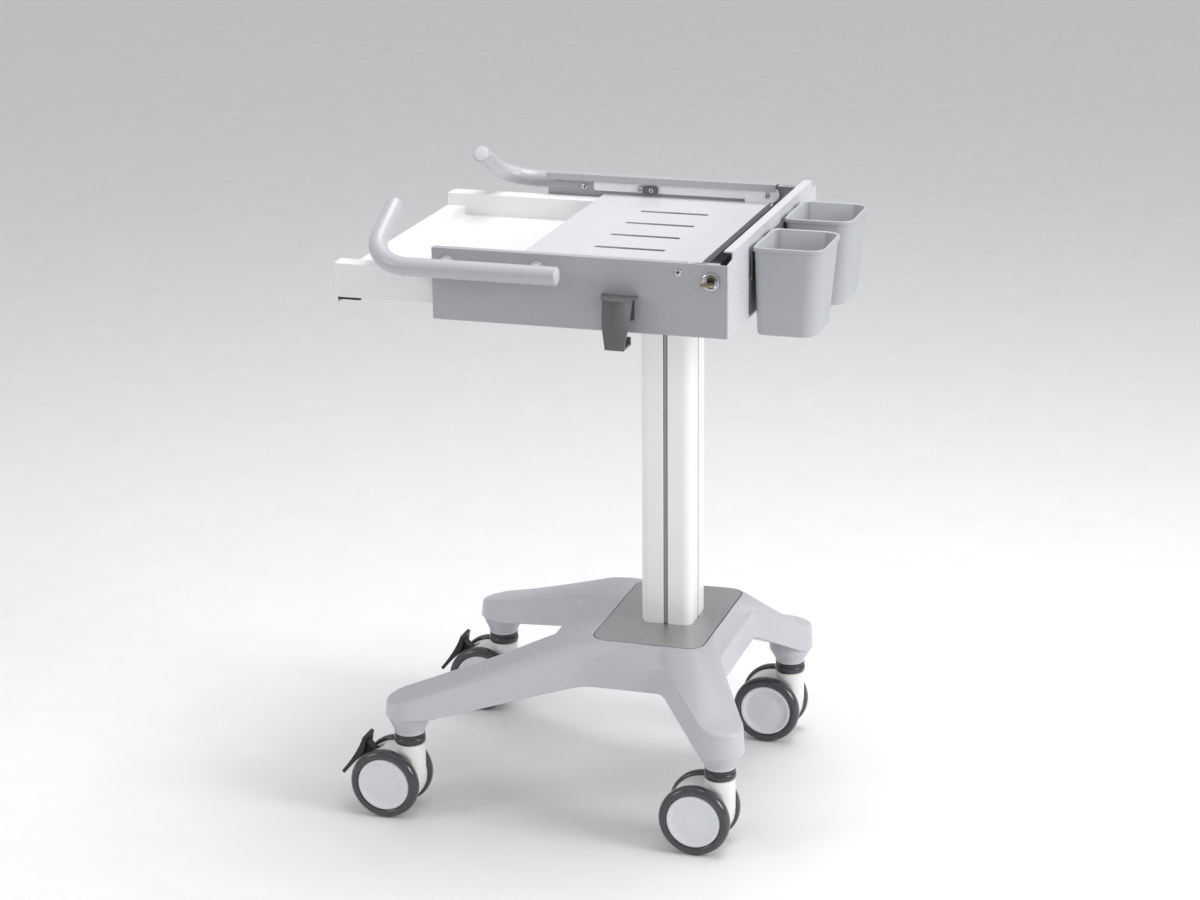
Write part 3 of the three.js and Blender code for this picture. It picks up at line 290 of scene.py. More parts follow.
def turned(profile, segments, centre, place=along_z):
    """A profile of (radius, along) points turned about an axis, from the axis back to it or a ring."""
    cx, cy = centre
    closed = profile[0][0] > 0
    angles = [2 * math.pi * i / segments for i in range(segments)]
    loops = [
        [place(cx + r * math.cos(a), cy + r * math.sin(a), along) for a in angles] for r, along in profile
    ]
    if closed:
        return skin(loops, ring=True)
    return skin(loops[1:-1])


def together(*solids):
    vertices, faces = [], []
    for more_vertices, more_faces in solids:
        start = len(vertices)
        vertices += more_vertices
        faces += [tuple(start + i for i in face) for face in more_faces]
    return vertices, faces


def mesh_of(name, solid):
    mesh = bpy.data.meshes.new(name)
    mesh.from_pydata([at(*v) for v in solid[0]], [], solid[1])
    return mesh


def tidy_mesh(mesh, flatten=False, sharp=32):
    """Welds the corners, turns the faces outwards and smooths what isn't an edge."""
    bm = bmesh.new()
    bm.from_mesh(mesh)
    bmesh.ops.remove_doubles(bm, verts=bm.verts, dist=2e-6)
    if flatten:
        bmesh.ops.dissolve_limit(
            bm, angle_limit=math.radians(0.6), verts=bm.verts, edges=bm.edges, delimit={"NORMAL"}
        )
    bmesh.ops.recalc_face_normals(bm, faces=bm.faces)
    bm.to_mesh(mesh)
    bm.free()
    mesh.shade_smooth()
    mesh.set_sharp_from_angle(angle=math.radians(sharp))


def dress(obj, body, slot, material=None, stands_for=(), edge=0.0, segments=2):
    """Gives a piece its material, found by its slot unless one is given, its edge radius and its body."""
    obj.data.materials.clear()
    obj.data.materials.append(material or MATERIALS[slot])
    if edge:
        bevel = obj.modifiers.new("edges", "BEVEL")
        bevel.width = edge * MM
        bevel.segments = segments
        bevel.limit_method = "ANGLE"
        bevel.angle_limit = math.radians(38)
        bevel.harden_normals = True
    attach(obj, body)
    if stands_for:
        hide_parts(*stands_for)
    return obj


def piece(name, body, slot, *solids, flatten=False, sharp=32, **looks):
    mesh = mesh_of(name, together(*solids))
    tidy_mesh(mesh, flatten, sharp)
    obj = bpy.data.objects.new(name, mesh)
    bpy.context.scene.collection.objects.link(obj)
    return dress(obj, body, slot, **looks)


def body_of(node):
    return next(name for name, nodes in frame["record"]["behaviour"]["bodies"].items() if node in nodes)


def refined(node, edge=0.5, segments=2, material=None):
    """A copy of a sheet-metal node with its edges broken by a small radius."""
    mesh = frame["nodes"][node].data.copy()
    mesh.name = node + "_shown"
    tidy_mesh(mesh, flatten=True)
    obj = bpy.data.objects.new(node + "_shown", mesh)
    bpy.context.scene.collection.objects.link(obj)
    return dress(obj, body_of(node), NODE_SLOT[node], material, (node,), edge, segments)


def carve(obj, solid, operation="DIFFERENCE"):
    """Cuts a solid out of a piece, or joins it on."""
    tool_mesh = mesh_of("tool", solid)
    tidy_mesh(tool_mesh)
    tool = bpy.data.objects.new("tool", tool_mesh)
    bpy.context.scene.collection.objects.link(tool)
    modifier = obj.modifiers.new("carve", "BOOLEAN")
    modifier.object = tool
    modifier.operation = operation
    modifier.solver = "EXACT"
    obj.modifiers.move(len(obj.modifiers) - 1, 0)
    others = [m for m in obj.modifiers if m != modifier]
    for other in others:
        other.show_viewport = False
    bpy.context.view_layer.update()
    shape = obj.evaluated_get(bpy.context.evaluated_depsgraph_get())
    old, obj.data = obj.data, bpy.data.meshes.new_from_object(shape)
    obj.modifiers.remove(modifier)
    for other in others:
        other.show_viewport = True
    name = old.name
    bpy.data.objects.remove(tool)
    bpy.data.meshes.remove(old)
    obj.data.name = name
    tidy_mesh(obj.data, flatten=True)
    return obj


# ---------- screws ----------

SCREW_R = 4.9
SCREW_TALL = 2.1
# Size of the near-black disc that paints the shade in each screw's cross.
RECESS_REACH = 0.6  # of the head's radius
RECESS_HEIGHT = 0.42  # of the head's height


def cross_shade(centre, direction, radius=SCREW_R, tall=SCREW_TALL):
    """A near-black disc on the floor of a screw head's cross: painted shade."""
    spin = Vector((0, 0, 1)).rotation_difference(Vector(direction))
    reach, height = radius * RECESS_REACH, tall * RECESS_HEIGHT
    vertices, faces = turned([(0, 0), (reach, 0), (reach, height), (0, height)], 24, (0, 0))
    return [tuple(Vector(centre) + spin @ Vector(v)) for v in vertices], faces


def screws(name, body, slot, heads):
    """Domed heads with cross recesses whose floors carry painted shade, all riding on one body."""
    piece(name, body, slot, *[screw(*head) for head in heads], sharp=50)
    cross_shades = [cross_shade(*head) for head in heads]
    # Painted shade: near-black discs on the floors of the crosses.
    piece(f"{name}_recess_shades", body, "black_plastic", *cross_shades, material=SHADE_AND_TRIM_BLACK)


def screw(centre, direction, radius=SCREW_R, tall=SCREW_TALL):
    """A domed head with a cross recess, its flat side on `centre` and its dome towards `direction`."""
    spin = Vector((0, 0, 1)).rotation_difference(Vector(direction))
    slot_half, slot_reach, floor = radius * 0.13, radius * 0.56, tall * 0.35
    parts = 48
    rim = [
        (radius * math.cos(2 * math.pi * i / parts), radius * math.sin(2 * math.pi * i / parts))
        for i in range(parts)
    ]

    def dome(share):
        """The head's height at a share of its radius."""
        return tall * (0.35 + 0.65 * math.sqrt(max(0.0, 1 - share**2)))

    def pulled(t):
        """Loops that run from the cross at t = 0 to the rim at t = 1."""
        loop = []
        for x, y in rim:
            angle = math.atan2(y, x)
            reach = cross_radius(angle)
            r = reach + (radius - reach) * t
            loop.append((r * math.cos(angle), r * math.sin(angle), dome(r / radius)))
        return loop

    def cross_radius(angle):
        """How far the cross reaches from the middle at an angle."""
        a = abs((angle + math.pi / 4) % (math.pi / 2) - math.pi / 4)
        return min(slot_reach / math.cos(a), slot_half / max(math.sin(a), 1e-6))

    mouth = pulled(0)
    loops = [
        [(x, y, 0.0) for x, y in rim],
        *[pulled(t) for t in (1, 0.92, 0.75, 0.5, 0.25, 0)],
        [(x * 0.9, y * 0.9, floor) for x, y, _ in mouth],
    ]
    vertices, faces = skin(loops)
    origin = Vector(centre)
    return [tuple(origin + spin @ Vector(v)) for v in vertices], faces


# ---------- base ----------

PLATE_TOP = span("base_plate")[1].z
PLATE_LOW_CORNER, PLATE_HIGH_CORNER = span("base_plate")
PLATE_CORNER = 22
PLATE_SLIT = 1.2
PLATE_HOLE_GAP = 0.4
# A near-black band set down in the slit round the base plate: painted shade for that gap.
SLIT_SHADE_NEAR = 0.1
SLIT_SHADE_WIDE = 1.1
SLIT_SHADE_DEPTH = 0.7
COVER_WALL = 4
CREASE_R = 5
DRAFT = 2.5
BODY_X = 152
BODY_FRONT_Y = -159
BODY_REAR_Y = 95
ARM_TIP_R = 31.5
CREASE_MAX = 238
CREASE_BLEND = 3.0
WALL_LOW_MAX = 197


class Arm:
    """An arm's crease stands at `tip` over its caster and climbs by `slope` along `inward`."""

    def __init__(self, end, inward, tip, slope, tip_slope, low, low_slope, low_from):
        caster = middle(f"{end}_right_caster_stem")
        self.x, self.y = caster.x, caster.y
        self.inward = inward
        self.tip, self.slope, self.tip_slope = tip, slope, tip_slope
        self.low, self.low_slope, self.low_from = low, low_slope, low_from

    def along(self, x, y):
        return (abs(x) - self.x) * self.inward[0] + (y - self.y) * self.inward[1]

    def crease(self, x, y):
        along = self.along(x, y)
        return self.tip + along * (self.slope if along > 0 else self.tip_slope)

    def wall_low(self, x, y):
        return self.low + self.low_slope * max(0.0, self.along(x, y) - self.low_from)


FRONT_ARM = Arm("front", (-0.385, 0.923), 180, 0.275, 0.22, 150, 0.213, 22)
REAR_ARM = Arm("rear", (-0.784, -0.621), 187, 0.5, 0.19, 145, 0.5, 0)


def soft_min(values, blend):
    lowest = min(values)
    return lowest - blend * math.log(sum(math.exp((lowest - v) / blend) for v in values))


def crease_height(x, y):
    return soft_min((CREASE_MAX, FRONT_ARM.crease(x, y), REAR_ARM.crease(x, y)), CREASE_BLEND)


def wall_low(x, y):
    return soft_min((WALL_LOW_MAX, FRONT_ARM.wall_low(x, y), REAR_ARM.wall_low(x, y)), 1.5)


def between(a, b, parts):
    return [tuple(Vector(a).lerp(Vector(b), i / parts)) for i in range(1, parts)]


def arm_tip(arm, before, after, parts=24):
    def reach(p):
        return math.acos(ARM_TIP_R / math.hypot(p[0] - arm.x, p[1] - arm.y))

    start = math.atan2(before[1] - arm.y, before[0] - arm.x) + reach(before)
    end = math.atan2(after[1] - arm.y, after[0] - arm.x) - reach(after)
    while end < start:
        end += 2 * math.pi
    return arc(arm.x, arm.y, ARM_TIP_R, math.degrees(start), math.degrees(end), parts)


def fillet(a, corner, b, radius, parts=12):
    here = Vector(corner)
    to_a, to_b = (Vector(a) - here).normalized(), (Vector(b) - here).normalized()
    reach = radius / math.tan(to_a.angle(to_b) / 2)
    start, end = here + to_a * reach, here + to_b * reach
    steps = [i / parts for i in range(parts + 1)]
    return [tuple(start * (1 - t) ** 2 + here * 2 * t * (1 - t) + end * t * t) for t in steps]


def outline_stretches():
    """The right half of the base's outline, in four stretches from the middle of the front to the rear."""
    front, notch = (0, BODY_FRONT_Y), (90, BODY_FRONT_Y)
    waist_front, waist_rear = (BODY_X, -90), (BODY_X, 28)
    rear_notch, rear = (99, BODY_REAR_Y), (0, BODY_REAR_Y)
    front_tip = arm_tip(FRONT_ARM, notch, waist_front)
    rear_tip = arm_tip(REAR_ARM, waist_rear, rear_notch)
    half = len(front_tip) // 2
    notch_arc = fillet(front, notch, front_tip[0], 42)
    waist_front_arc = fillet(front_tip[-1], waist_front, waist_rear, 90)
    waist_rear_arc = fillet(waist_front, waist_rear, rear_tip[0], 26)
    rear_arc = fillet(rear_tip[-1], rear_notch, rear, 24)
    side = (BODY_X, (waist_front_arc[-1][1] + waist_rear_arc[0][1]) / 2)
    to_notch = [front, *between(front, notch_arc[0], 8), *notch_arc]
    to_front_tip = between(notch_arc[-1], front_tip[0], 16)
    to_waist = between(front_tip[-1], waist_front_arc[0], 16)
    to_rear_tip = between(waist_rear_arc[-1], rear_tip[0], 12)
    to_rear = [*rear_arc, *between(rear_arc[-1], rear, 8), rear]
    return [
        [*to_notch, *to_front_tip, *front_tip[: half + 1]],
        [*front_tip[half:], *to_waist, *waist_front_arc, side],
        [side, *waist_rear_arc, *to_rear_tip, *rear_tip[: half + 1]],
        [*rear_tip[half:], *between(rear_tip[-1], rear_arc[0], 8), *to_rear],
    ]


def walked(points):
    """The distance walked along a line at each of its points."""
    total = [0.0]
    for a, b in zip(points, points[1:]):
        total.append(total[-1] + math.dist(a, b))
    return total


def point_at(points, distances, distance):
    for i in range(1, len(points)):
        if distance <= distances[i] or i == len(points) - 1:
            share = (distance - distances[i - 1]) / max(1e-9, distances[i] - distances[i - 1])
            return tuple(Vector(points[i - 1]).lerp(Vector(points[i]), share))


def cover_pairs():
    """Pairs each point of the outline with one of the opening around the plate, all round."""
    x = PLATE_HIGH_CORNER.x + PLATE_SLIT
    y0, y1 = PLATE_LOW_CORNER.y - PLATE_SLIT, PLATE_HIGH_CORNER.y + PLATE_SLIT
    r = PLATE_CORNER + PLATE_SLIT
    front_arc, rear_arc = arc(x - r, y0 + r, r, -90, 0, 16), arc(x - r, y1 - r, r, 0, 90, 16)
    edge = [(0, y0), *front_arc, *rear_arc, (0, y1)]
    distances = walked(edge)
    quarter = r * math.pi / 4
    front_mark = x - r + quarter
    side_mark = x - r + 2 * quarter + (y1 - y0 - 2 * r) / 2
    rear_mark = x - r + 3 * quarter + (y1 - y0 - 2 * r)
    marks = [0, front_mark, side_mark, rear_mark, distances[-1]]
    pairs = []
    for s, stretch in enumerate(outline_stretches()):
        run = walked(stretch)
        for i, point in enumerate(stretch):
            if i or not s:
                distance = marks[s] + run[i] / run[-1] * (marks[s + 1] - marks[s])
                pairs.append((point, point_at(edge, distances, distance)))
    mirrored = [((-a[0], a[1]), (-b[0], b[1])) for a, b in reversed(pairs[1:-1])]
    return pairs + mirrored


def offset(points, distance):
    """The outline moved outwards, point by point."""
    moved = []
    for i, p in enumerate(points):
        run = (Vector(points[(i + 1) % len(points)]) - Vector(points[i - 1])).normalized()
        moved.append((p[0] + run.y * distance, p[1] - run.x * distance))
    return moved


def top_point(out, inner, t):
    """A point of the cover's top: t runs from 0 at the plate to 1 at the crease."""
    x, y = Vector(inner).lerp(Vector(out), t)
    rise = (PLATE_TOP - crease_height(*inner)) * (1 - t) ** 1.5
    return Vector((x, y, crease_height(x, y) + rise))


def curve(a, corner, b, t):
    return a * (1 - t) ** 2 + corner * 2 * t * (1 - t) + b * t * t


def cover_section(pair, low_out, low_in, inner):
    """One cross-section of the cover, from the plate's edge over the crease and back underneath."""
    out, plate = pair
    width = math.dist(out, plate)
    low = wall_low(*out)
    crease = top_point(out, plate, 1)
    inset = top_point(out, plate, 1 - CREASE_R / width)
    foot = Vector((*low_out, low))
    below = crease + (foot - crease).normalized() * CREASE_R
    lip = top_point(out, plate, 1.4 / width)
    down = Vector((0, 0, 1.2))
    crease_start = 1 - CREASE_R / width
    top = [top_point(out, plate, t * crease_start) for t in (0.07, 0.15, 0.28, 0.42, 0.58, 0.74, 0.88)]
    inside = [top_point(inner, plate, t) - Vector((0, 0, COVER_WALL)) for t in (1, 0.7, 0.4, 0)]
    start = top_point(out, plate, 0)
    return [
        start - down,
        curve(start - down, start, lip, 0.5),
        lip,
        *top,
        *[curve(inset, crease, below, t) for t in (0, 0.2, 0.4, 0.6, 0.8, 1)],
        *[below.lerp(foot, t) for t in (0.35, 0.7)],
        foot + Vector((0, 0, 1.0)),
        foot.lerp(Vector((*low_in, low)), 0.3),
        Vector((*low_in, low)),
        *inside,
    ]


def base_cover():
    pairs = cover_pairs()
    outline = [pair[0] for pair in pairs]
    low_out = offset(outline, DRAFT)
    low_in = offset(outline, DRAFT - COVER_WALL)
    inner = offset(outline, -COVER_WALL)
    sections = [cover_section(*parts) for parts in zip(pairs, low_out, low_in, inner)]
    loops = [[tuple(section[k]) for section in sections] for k in range(len(sections[0]))]
    looks = {"sharp": 48, "stands_for": ("base_cover",)}
    piece("base_cover_shown", "cart", "cover_plastic", skin(loops, ring=True), **looks)


BOSS_LOW = 122
BOSS_BORE = 16.3
BOSS_LOW_R = 21.8
BOSS_TOP_R = 31.2
BOSS_HIDDEN = 20
BOSS_FLARE = {"front": 150.5, "rear": 145.5}


def boss(name, x, y, flare_top):
    """The flared ring under an arm's end, over the caster's collar."""
    outer = [
        (BOSS_BORE, BOSS_LOW),
        (BOSS_LOW_R - 0.8, BOSS_LOW),
        (BOSS_LOW_R, BOSS_LOW + 0.9),
        (BOSS_LOW_R + 0.3, BOSS_LOW + 5),
        (BOSS_TOP_R - 0.6, flare_top - 4),
        (BOSS_TOP_R, flare_top - 1.5),
        (BOSS_TOP_R, flare_top + BOSS_HIDDEN),
        (BOSS_BORE, flare_top + BOSS_HIDDEN),
    ]
    profile = softened(outer, 1.4)
    piece(name, "cart", "cover_plastic", turned(profile, 72, (x, y)), stands_for=("base_cover",))


def plate_loop(half, y0, y1, radius, z):
    return [(x, y, z) for x, y in rounded_rectangle(half, y0, y1, radius, 12)]


def base_plate():
    low, high = PLATE_LOW_CORNER, PLATE_HIGH_CORNER
    gap = PLATE_HOLE_GAP
    hole = [COLUMN_HALF_X + gap, -COLUMN_HALF_Y - gap, COLUMN_HALF_Y + gap, COLUMN_CORNER]
    edge = [high.x, low.y, high.y, PLATE_CORNER]
    levels = ((hole, low.z), (edge, low.z), (edge, high.z), (hole, high.z))
    loops = [plate_loop(*shape, z) for shape, z in levels]
    looks = {"stands_for": ("base_plate",), "edge": 0.5}
    piece("base_plate_shown", "cart", "brushed_plate", skin(loops, ring=True), **looks)
    # Painted shade: a near-black band just under the plate's top fills the slit round it.
    slit_shade = []
    top = high.z - SLIT_SHADE_DEPTH
    for grown, z in ((SLIT_SHADE_NEAR, low.z), (SLIT_SHADE_WIDE, low.z), (SLIT_SHADE_WIDE, top), (SLIT_SHADE_NEAR, top)):
        shape = (high.x + grown, low.y - grown, high.y + grown, PLATE_CORNER + grown)
        slit_shade.append(plate_loop(*shape, z))
    piece("plate_slit_shade", "cart", "black_plastic", skin(slit_shade, ring=True), material=SHADE_AND_TRIM_BLACK)


# ---------- column ----------

COLUMN_HALF_X = middle("column").x + (span("column")[1].x - span("column")[0].x) / 2
COLUMN_HALF_Y = span("column")[1].y
COLUMN_FOOT = span("column")[0].z
COLUMN_TOP = span("column")[1].z
COLUMN_CORNER = 13
SLOT_HALF = 3
SLOT_DEPTH = 7
SLOT_LIP = 0.9
STRIP_FOOT = span("column_strip_right")[0].z
STRIP_TOP = span("column_strip_right")[1].z


def slotted_side(half_width, reach, turn):
    """A corner and the slotted side after it, turned about the column's axis by quarter turns."""
    h, d, lip = SLOT_HALF, SLOT_DEPTH, SLOT_LIP
    corner = arc(reach - COLUMN_CORNER, COLUMN_CORNER - half_width, COLUMN_CORNER, -90, 0, 12)
    slot = [(reach, -h - lip), (reach - lip, -h), (reach - d, -h)]
    slot += [(u, -v) for u, v in reversed(slot)]
    spin = Matrix.Rotation(turn * math.pi / 2, 2)
    return [tuple(spin @ Vector(p)) for p in corner + slot]


def column():
    x, y = COLUMN_HALF_X, COLUMN_HALF_Y
    outline = [p for k in range(4) for p in slotted_side(*((y, x) if k % 2 == 0 else (x, y)), k)]
    solid = prism(outline, COLUMN_FOOT, COLUMN_TOP)
    piece("column_shown", "cart", "column_white", solid, stands_for=("column",), edge=0.25, sharp=25)


def column_strips():
    """The pressed-in strips of all four slots: a flat face, with a near-black band behind it that paints
    the shade in the gaps either side.
    """
    face = softened([(-2.1, -3.6), (2.1, -3.6), (2.1, -0.9), (-2.1, -0.9)], 0.5)
    shade_band = [(-2.7, -4.4), (2.7, -4.4), (2.7, -2.6), (-2.7, -2.6)]
    names = ("front", "right", "rear", "left")
    for k, name in enumerate(names):
        reach = COLUMN_HALF_Y if k % 2 == 0 else COLUMN_HALF_X
        spin = Matrix.Rotation((k + 2) * math.pi / 2, 2)

        def turned_out(points):
            return [tuple(spin @ Vector((x, y + reach))) for x, y in points]

        stands_for = (f"column_strip_{name}",) if name in SIDES else ()
        strip = prism(turned_out(face), STRIP_FOOT, STRIP_TOP)
        piece(f"column_strip_{name}_shown", "cart", "strip_grey", strip, stands_for=stands_for, edge=0.2)
        # Painted shade: the near-black band behind each strip shows in the gaps beside it.
        slot_shade = prism(turned_out(shade_band), STRIP_FOOT + 0.5, STRIP_TOP)
        piece(f"column_slot_shade_{name}", "cart", "strip_grey", slot_shade, material=SHADE_AND_TRIM_BLACK)


HEAD_SCREW_X = 57
HEAD_SCREW_Y = 48
HEAD_SCREW = (5.5, 3)  # radius and height


def column_head():
    refined("column_head", 0.8, 3)
    z = COLUMN_TOP + 0.3
    corners = [(x * HEAD_SCREW_X, y * HEAD_SCREW_Y, z) for x in (-1, 1) for y in (-1, 1)]
    heads = [(corner, (0, 0, -1), *HEAD_SCREW) for corner in corners]
    screws("head_screws", "cart", "frame_steel", heads)


# ---------- casters ----------

WHEEL_R = 50.8
HOOD_R = 46
HOOD_HALF = 19.5
TRAIL = 29
STEM_R = 21.5
STEM_TOP = 106.7
STEM_FOOT = WHEEL_R + 10
COLLAR = [
    (0, 80),
    (8, 80),
    (8, 107),
    (20.8, 107),
    (22.2, 108.6),
    (22.5, 112),
    (22.2, 115.4),
    (20.9, 117),
    (20.2, 117.4),
    (20.2, 118.8),
    (21.6, 119.4),
    (21.9, 120.6),
    (21.2, 121.4),
    (11, 121.5),
    (11, 157),
    (0, 157),
]
TYRE = [
    (38.4, 21),
    (45, 20.6),
    (48.6, 21.8),
    (50.3, 24),
    (50.8, 27),
    (50.8, 30),
    (50.4, 32.6),
    (49.2, 35.2),
    (47.2, 37.2),
    (44.8, 38.2),
    (42.2, 38.3),
    (40, 37.5),
    (38.8, 36),
    (38.4, 34),
]
HUB_FACE = [
    (38.2, 34.6),
    (38.1, 35.8),
    (37.6, 36.8),
    (36.6, 37.4),
    (35.4, 37.5),
    (34.2, 37.1),
    (32.4, 35.8),
    (30.4, 34.7),
    (27.5, 34.2),
    (20, 34.6),
    (12, 35.2),
    (4, 35.5),
]
HUB_BACK = [(5.3, 33.4), (5.3, 20.8), (37.4, 20.8), (38.2, 21.6)]
HUB_AXIS = (33.4, 35.55)  # where the hub's axis meets its inner step and its face
WHEEL_GAP = 0.3
WHEEL_ROOM = 2
STEM_CHAMFER = 1.2
HOOD_ARC = (-50, 162)
PEDAL_SLOT_HALF = 8.4
PEDAL_SLOT = [(-40, -25), (14, -25), (14, 40), (-40, 40)]  # about the pivot
PEDAL_PIVOT = (-386, 85)


def wheel(prefix, half, way, x, y):
    """A hub and its tyre, facing away from the caster's middle plane."""
    place_x = {"place": lambda u, v, w: (x + way * w, u, v)}
    cap = [(0, HUB_AXIS[0]), *HUB_BACK, *HUB_FACE, (0, HUB_AXIS[1])]
    body = f"{prefix}_{half}_wheel"
    looks = {"stands_for": (f"{prefix}_{half}_hub",), "sharp": 40}
    hub = turned(cap, 80, (y, WHEEL_R), **place_x)
    piece(f"{prefix}_{half}_hub_shown", body, "hub_plastic", hub, **looks)
    looks = {"stands_for": (f"{prefix}_{half}_tyre",), "sharp": 50}
    tyre = turned(softened(TYRE, 1, 2), 96, (y, WHEEL_R), **place_x)
    piece(f"{prefix}_{half}_tyre_shown", body, "tyre_rubber", tyre, **looks)


def fork(prefix, x, caster_y, braked):
    """The hood over the two wheels, with its stem and, at the front, a slot for the pedal."""
    body = f"{prefix}_swivel"
    axle_y = caster_y - TRAIL
    hood = arc(axle_y, WHEEL_R, HOOD_R, *HOOD_ARC, 48)
    solid = prism(hood, x - HOOD_HALF, x + HOOD_HALF, along_x)
    shape = piece(f"{prefix}_fork_shown", body, "caster_white", solid)
    stem = [(0, STEM_FOOT), (STEM_R, STEM_FOOT), (STEM_R, STEM_TOP - STEM_CHAMFER)]
    stem += [(STEM_R - STEM_CHAMFER, STEM_TOP), (0, STEM_TOP)]
    carve(shape, turned(stem, 64, (x, caster_y)), "UNION")
    for side in (-1, 1):
        near, far = sorted((x + side * (HOOD_HALF + WHEEL_GAP), x + side * 60))
        carve(shape, prism(arc(axle_y, WHEEL_R, WHEEL_R + WHEEL_ROOM, 0, 356.25, 95), near, far, along_x))
    if braked:
        y, z = PEDAL_PIVOT
        gap = [(y + u, z + v) for u, v in PEDAL_SLOT]
        carve(shape, prism(gap, x - PEDAL_SLOT_HALF, x + PEDAL_SLOT_HALF, along_x))
    looks = {"stands_for": (f"{prefix}_fork",), "edge": 1.2, "segments": 3}
    return dress(shape, body, "caster_white", **looks)


PEDAL_FACE = [(-397, 112), (-406, 86), (-431, 56)]
PEDAL_HALF = 17
PEDAL_TIP = 5.2
PEDAL_WAIST = 10
PEDAL_WEB = [(5, -3), (5.5, 1), (3, 5), (-11, 19), (-31, -10), (-4, -6)]  # about the pivot
PEDAL_WEB_HALF = 8
PEDAL_PIN_R = 3
PEDAL_PIN_HALF = 13


def pedal(prefix, x):
    """A blade with rounded tips, thickest where its web leaves it for the hood."""
    a, b, c = (Vector(p) for p in PEDAL_FACE)
    front, back = [], []
    parts = 20
    for i in range(parts + 1):
        t = i / parts
        here = curve(a, b, c, t)
        run = ((b - a) * (1 - t) + (c - b) * t).normalized()
        thick = PEDAL_TIP + (PEDAL_WAIST - PEDAL_TIP) * math.sin(math.pi * min(1, t * 1.25)) ** 2
        front.append(tuple(here))
        back.append((here.x - run.y * thick, here.y + run.x * thick))
    blade = softened(front, 0.1, 1, closed=False) + list(reversed(back))
    y, z = PEDAL_PIVOT
    web = [(y + u, z + v) for u, v in PEDAL_WEB]
    pin = arc(y, z, PEDAL_PIN_R, 0, 345, 23)
    piece(
        f"{prefix}_brake_pedal_shown",
        f"{prefix}_brake",
        "black_plastic",
        prism(blade, x - PEDAL_HALF, x + PEDAL_HALF, along_x),
        prism(softened(web, 2.5), x - PEDAL_WEB_HALF, x + PEDAL_WEB_HALF, along_x),
        prism(pin, x - PEDAL_PIN_HALF, x + PEDAL_PIN_HALF, along_x),
        stands_for=(f"{prefix}_brake_pedal",),
        edge=1.4,
        segments=3,
    )


def casters():
    for end in ENDS:
        for side_name, side in SIDES.items():
            prefix = f"{end}_{side_name}"
            centre = middle(f"{prefix}_caster_stem")
            x, y = centre.x, centre.y
            boss(f"{prefix}_boss", x, y, BOSS_FLARE[end])
            collar = turned(COLLAR, 72, (x, y))
            stem_node = f"{prefix}_caster_stem"
            looks = {"material": COLLAR_BLACK, "stands_for": (stem_node,), "sharp": 40}
            piece(f"{stem_node}_shown", "cart", "black_plastic", collar, **looks)
            fork(prefix, x, y, end == "front")
            refined(f"{prefix}_axle", 0.4)
            for half, way in (("outer", side), ("inner", -side)):
                wheel(prefix, half, way, x, y - TRAIL)
            if end == "front":
                pedal(prefix, x)


# ---------- head ----------


HEAD_SHEETS = (
    "housing_pan",
    "side_panel_left",
    "side_panel_right",
    "rear_panel",
    "laptop_shelf",
    "bin_bracket",
)


def housing():
    for node in HEAD_SHEETS:
        refined(node, 0.5)
    refined("cable_tray", 0.4)
    refined("drawer_tray", 0.5)
    for member in ("outer", "middle", "inner"):
        for side_name in SIDES:
            refined(f"slide_{member}_{side_name}", 0.25)


WALL_X = span("side_panel_right")[1].x
WALL_INNER = WALL_X - 2
PANEL_SCREW_Z = 830.3
PANEL_SCREW_Y = 77.6
INNER_SCREW = (-205.6, 822.5)  # Y and Z
RIVET = (-243.9, 831.6)  # Y and Z
RIVET_R = 2.2


def panel_screws():
    heads = [
        ((WALL_X, PANEL_SCREW_Y, PANEL_SCREW_Z), (1, 0, 0)),
        ((-WALL_X, PANEL_SCREW_Y, PANEL_SCREW_Z), (-1, 0, 0)),
        ((-WALL_INNER, *INNER_SCREW), (1, 0, 0)),
        ((WALL_INNER, *INNER_SCREW), (-1, 0, 0)),
    ]
    screws("panel_screws", "cart", "chrome", heads)
    pins = []
    for side in (-1, 1):
        reach = sorted((side * (WALL_INNER + 0.2), side * (WALL_INNER - 1.3)))
        pins.append(prism(arc(*RIVET, RIVET_R, 0, 345, 23), *reach, along_x))
    piece("panel_rivets", "cart", "dark_coat", *pins, edge=0.4)


# Outlines in Y and Z on the inside of each wall, and (radius, along) for the ring.
BAR = [(-190.4, 818.6), (78, 818.6), (78, 834.4), (-190.4, 834.4)]
LATCH = [(-115, 818), (-91, 818), (-91, 829.8), (-115, 829.8)]
LATCH_RING = [(2.4, 0), (5.4, 0), (5.4, 3), (4.6, 3.6), (2.4, 3.6)]
LATCH_RING_AT = (-118, 824)
END_PLATE = [(40, 812), (78, 812), (92, 822), (92, 833), (80, 840), (40, 840)]
BAR_THICK = 4
LATCH_DEEP = (3.5, 8)
END_PLATE_DEEP = (4.2, 6)
LATCH_SCREW = ((-101, 824), 3.6, 1.4)  # its place, radius and height
END_PLATE_SCREW = ((73.6, 825.7), 4.6, 2)


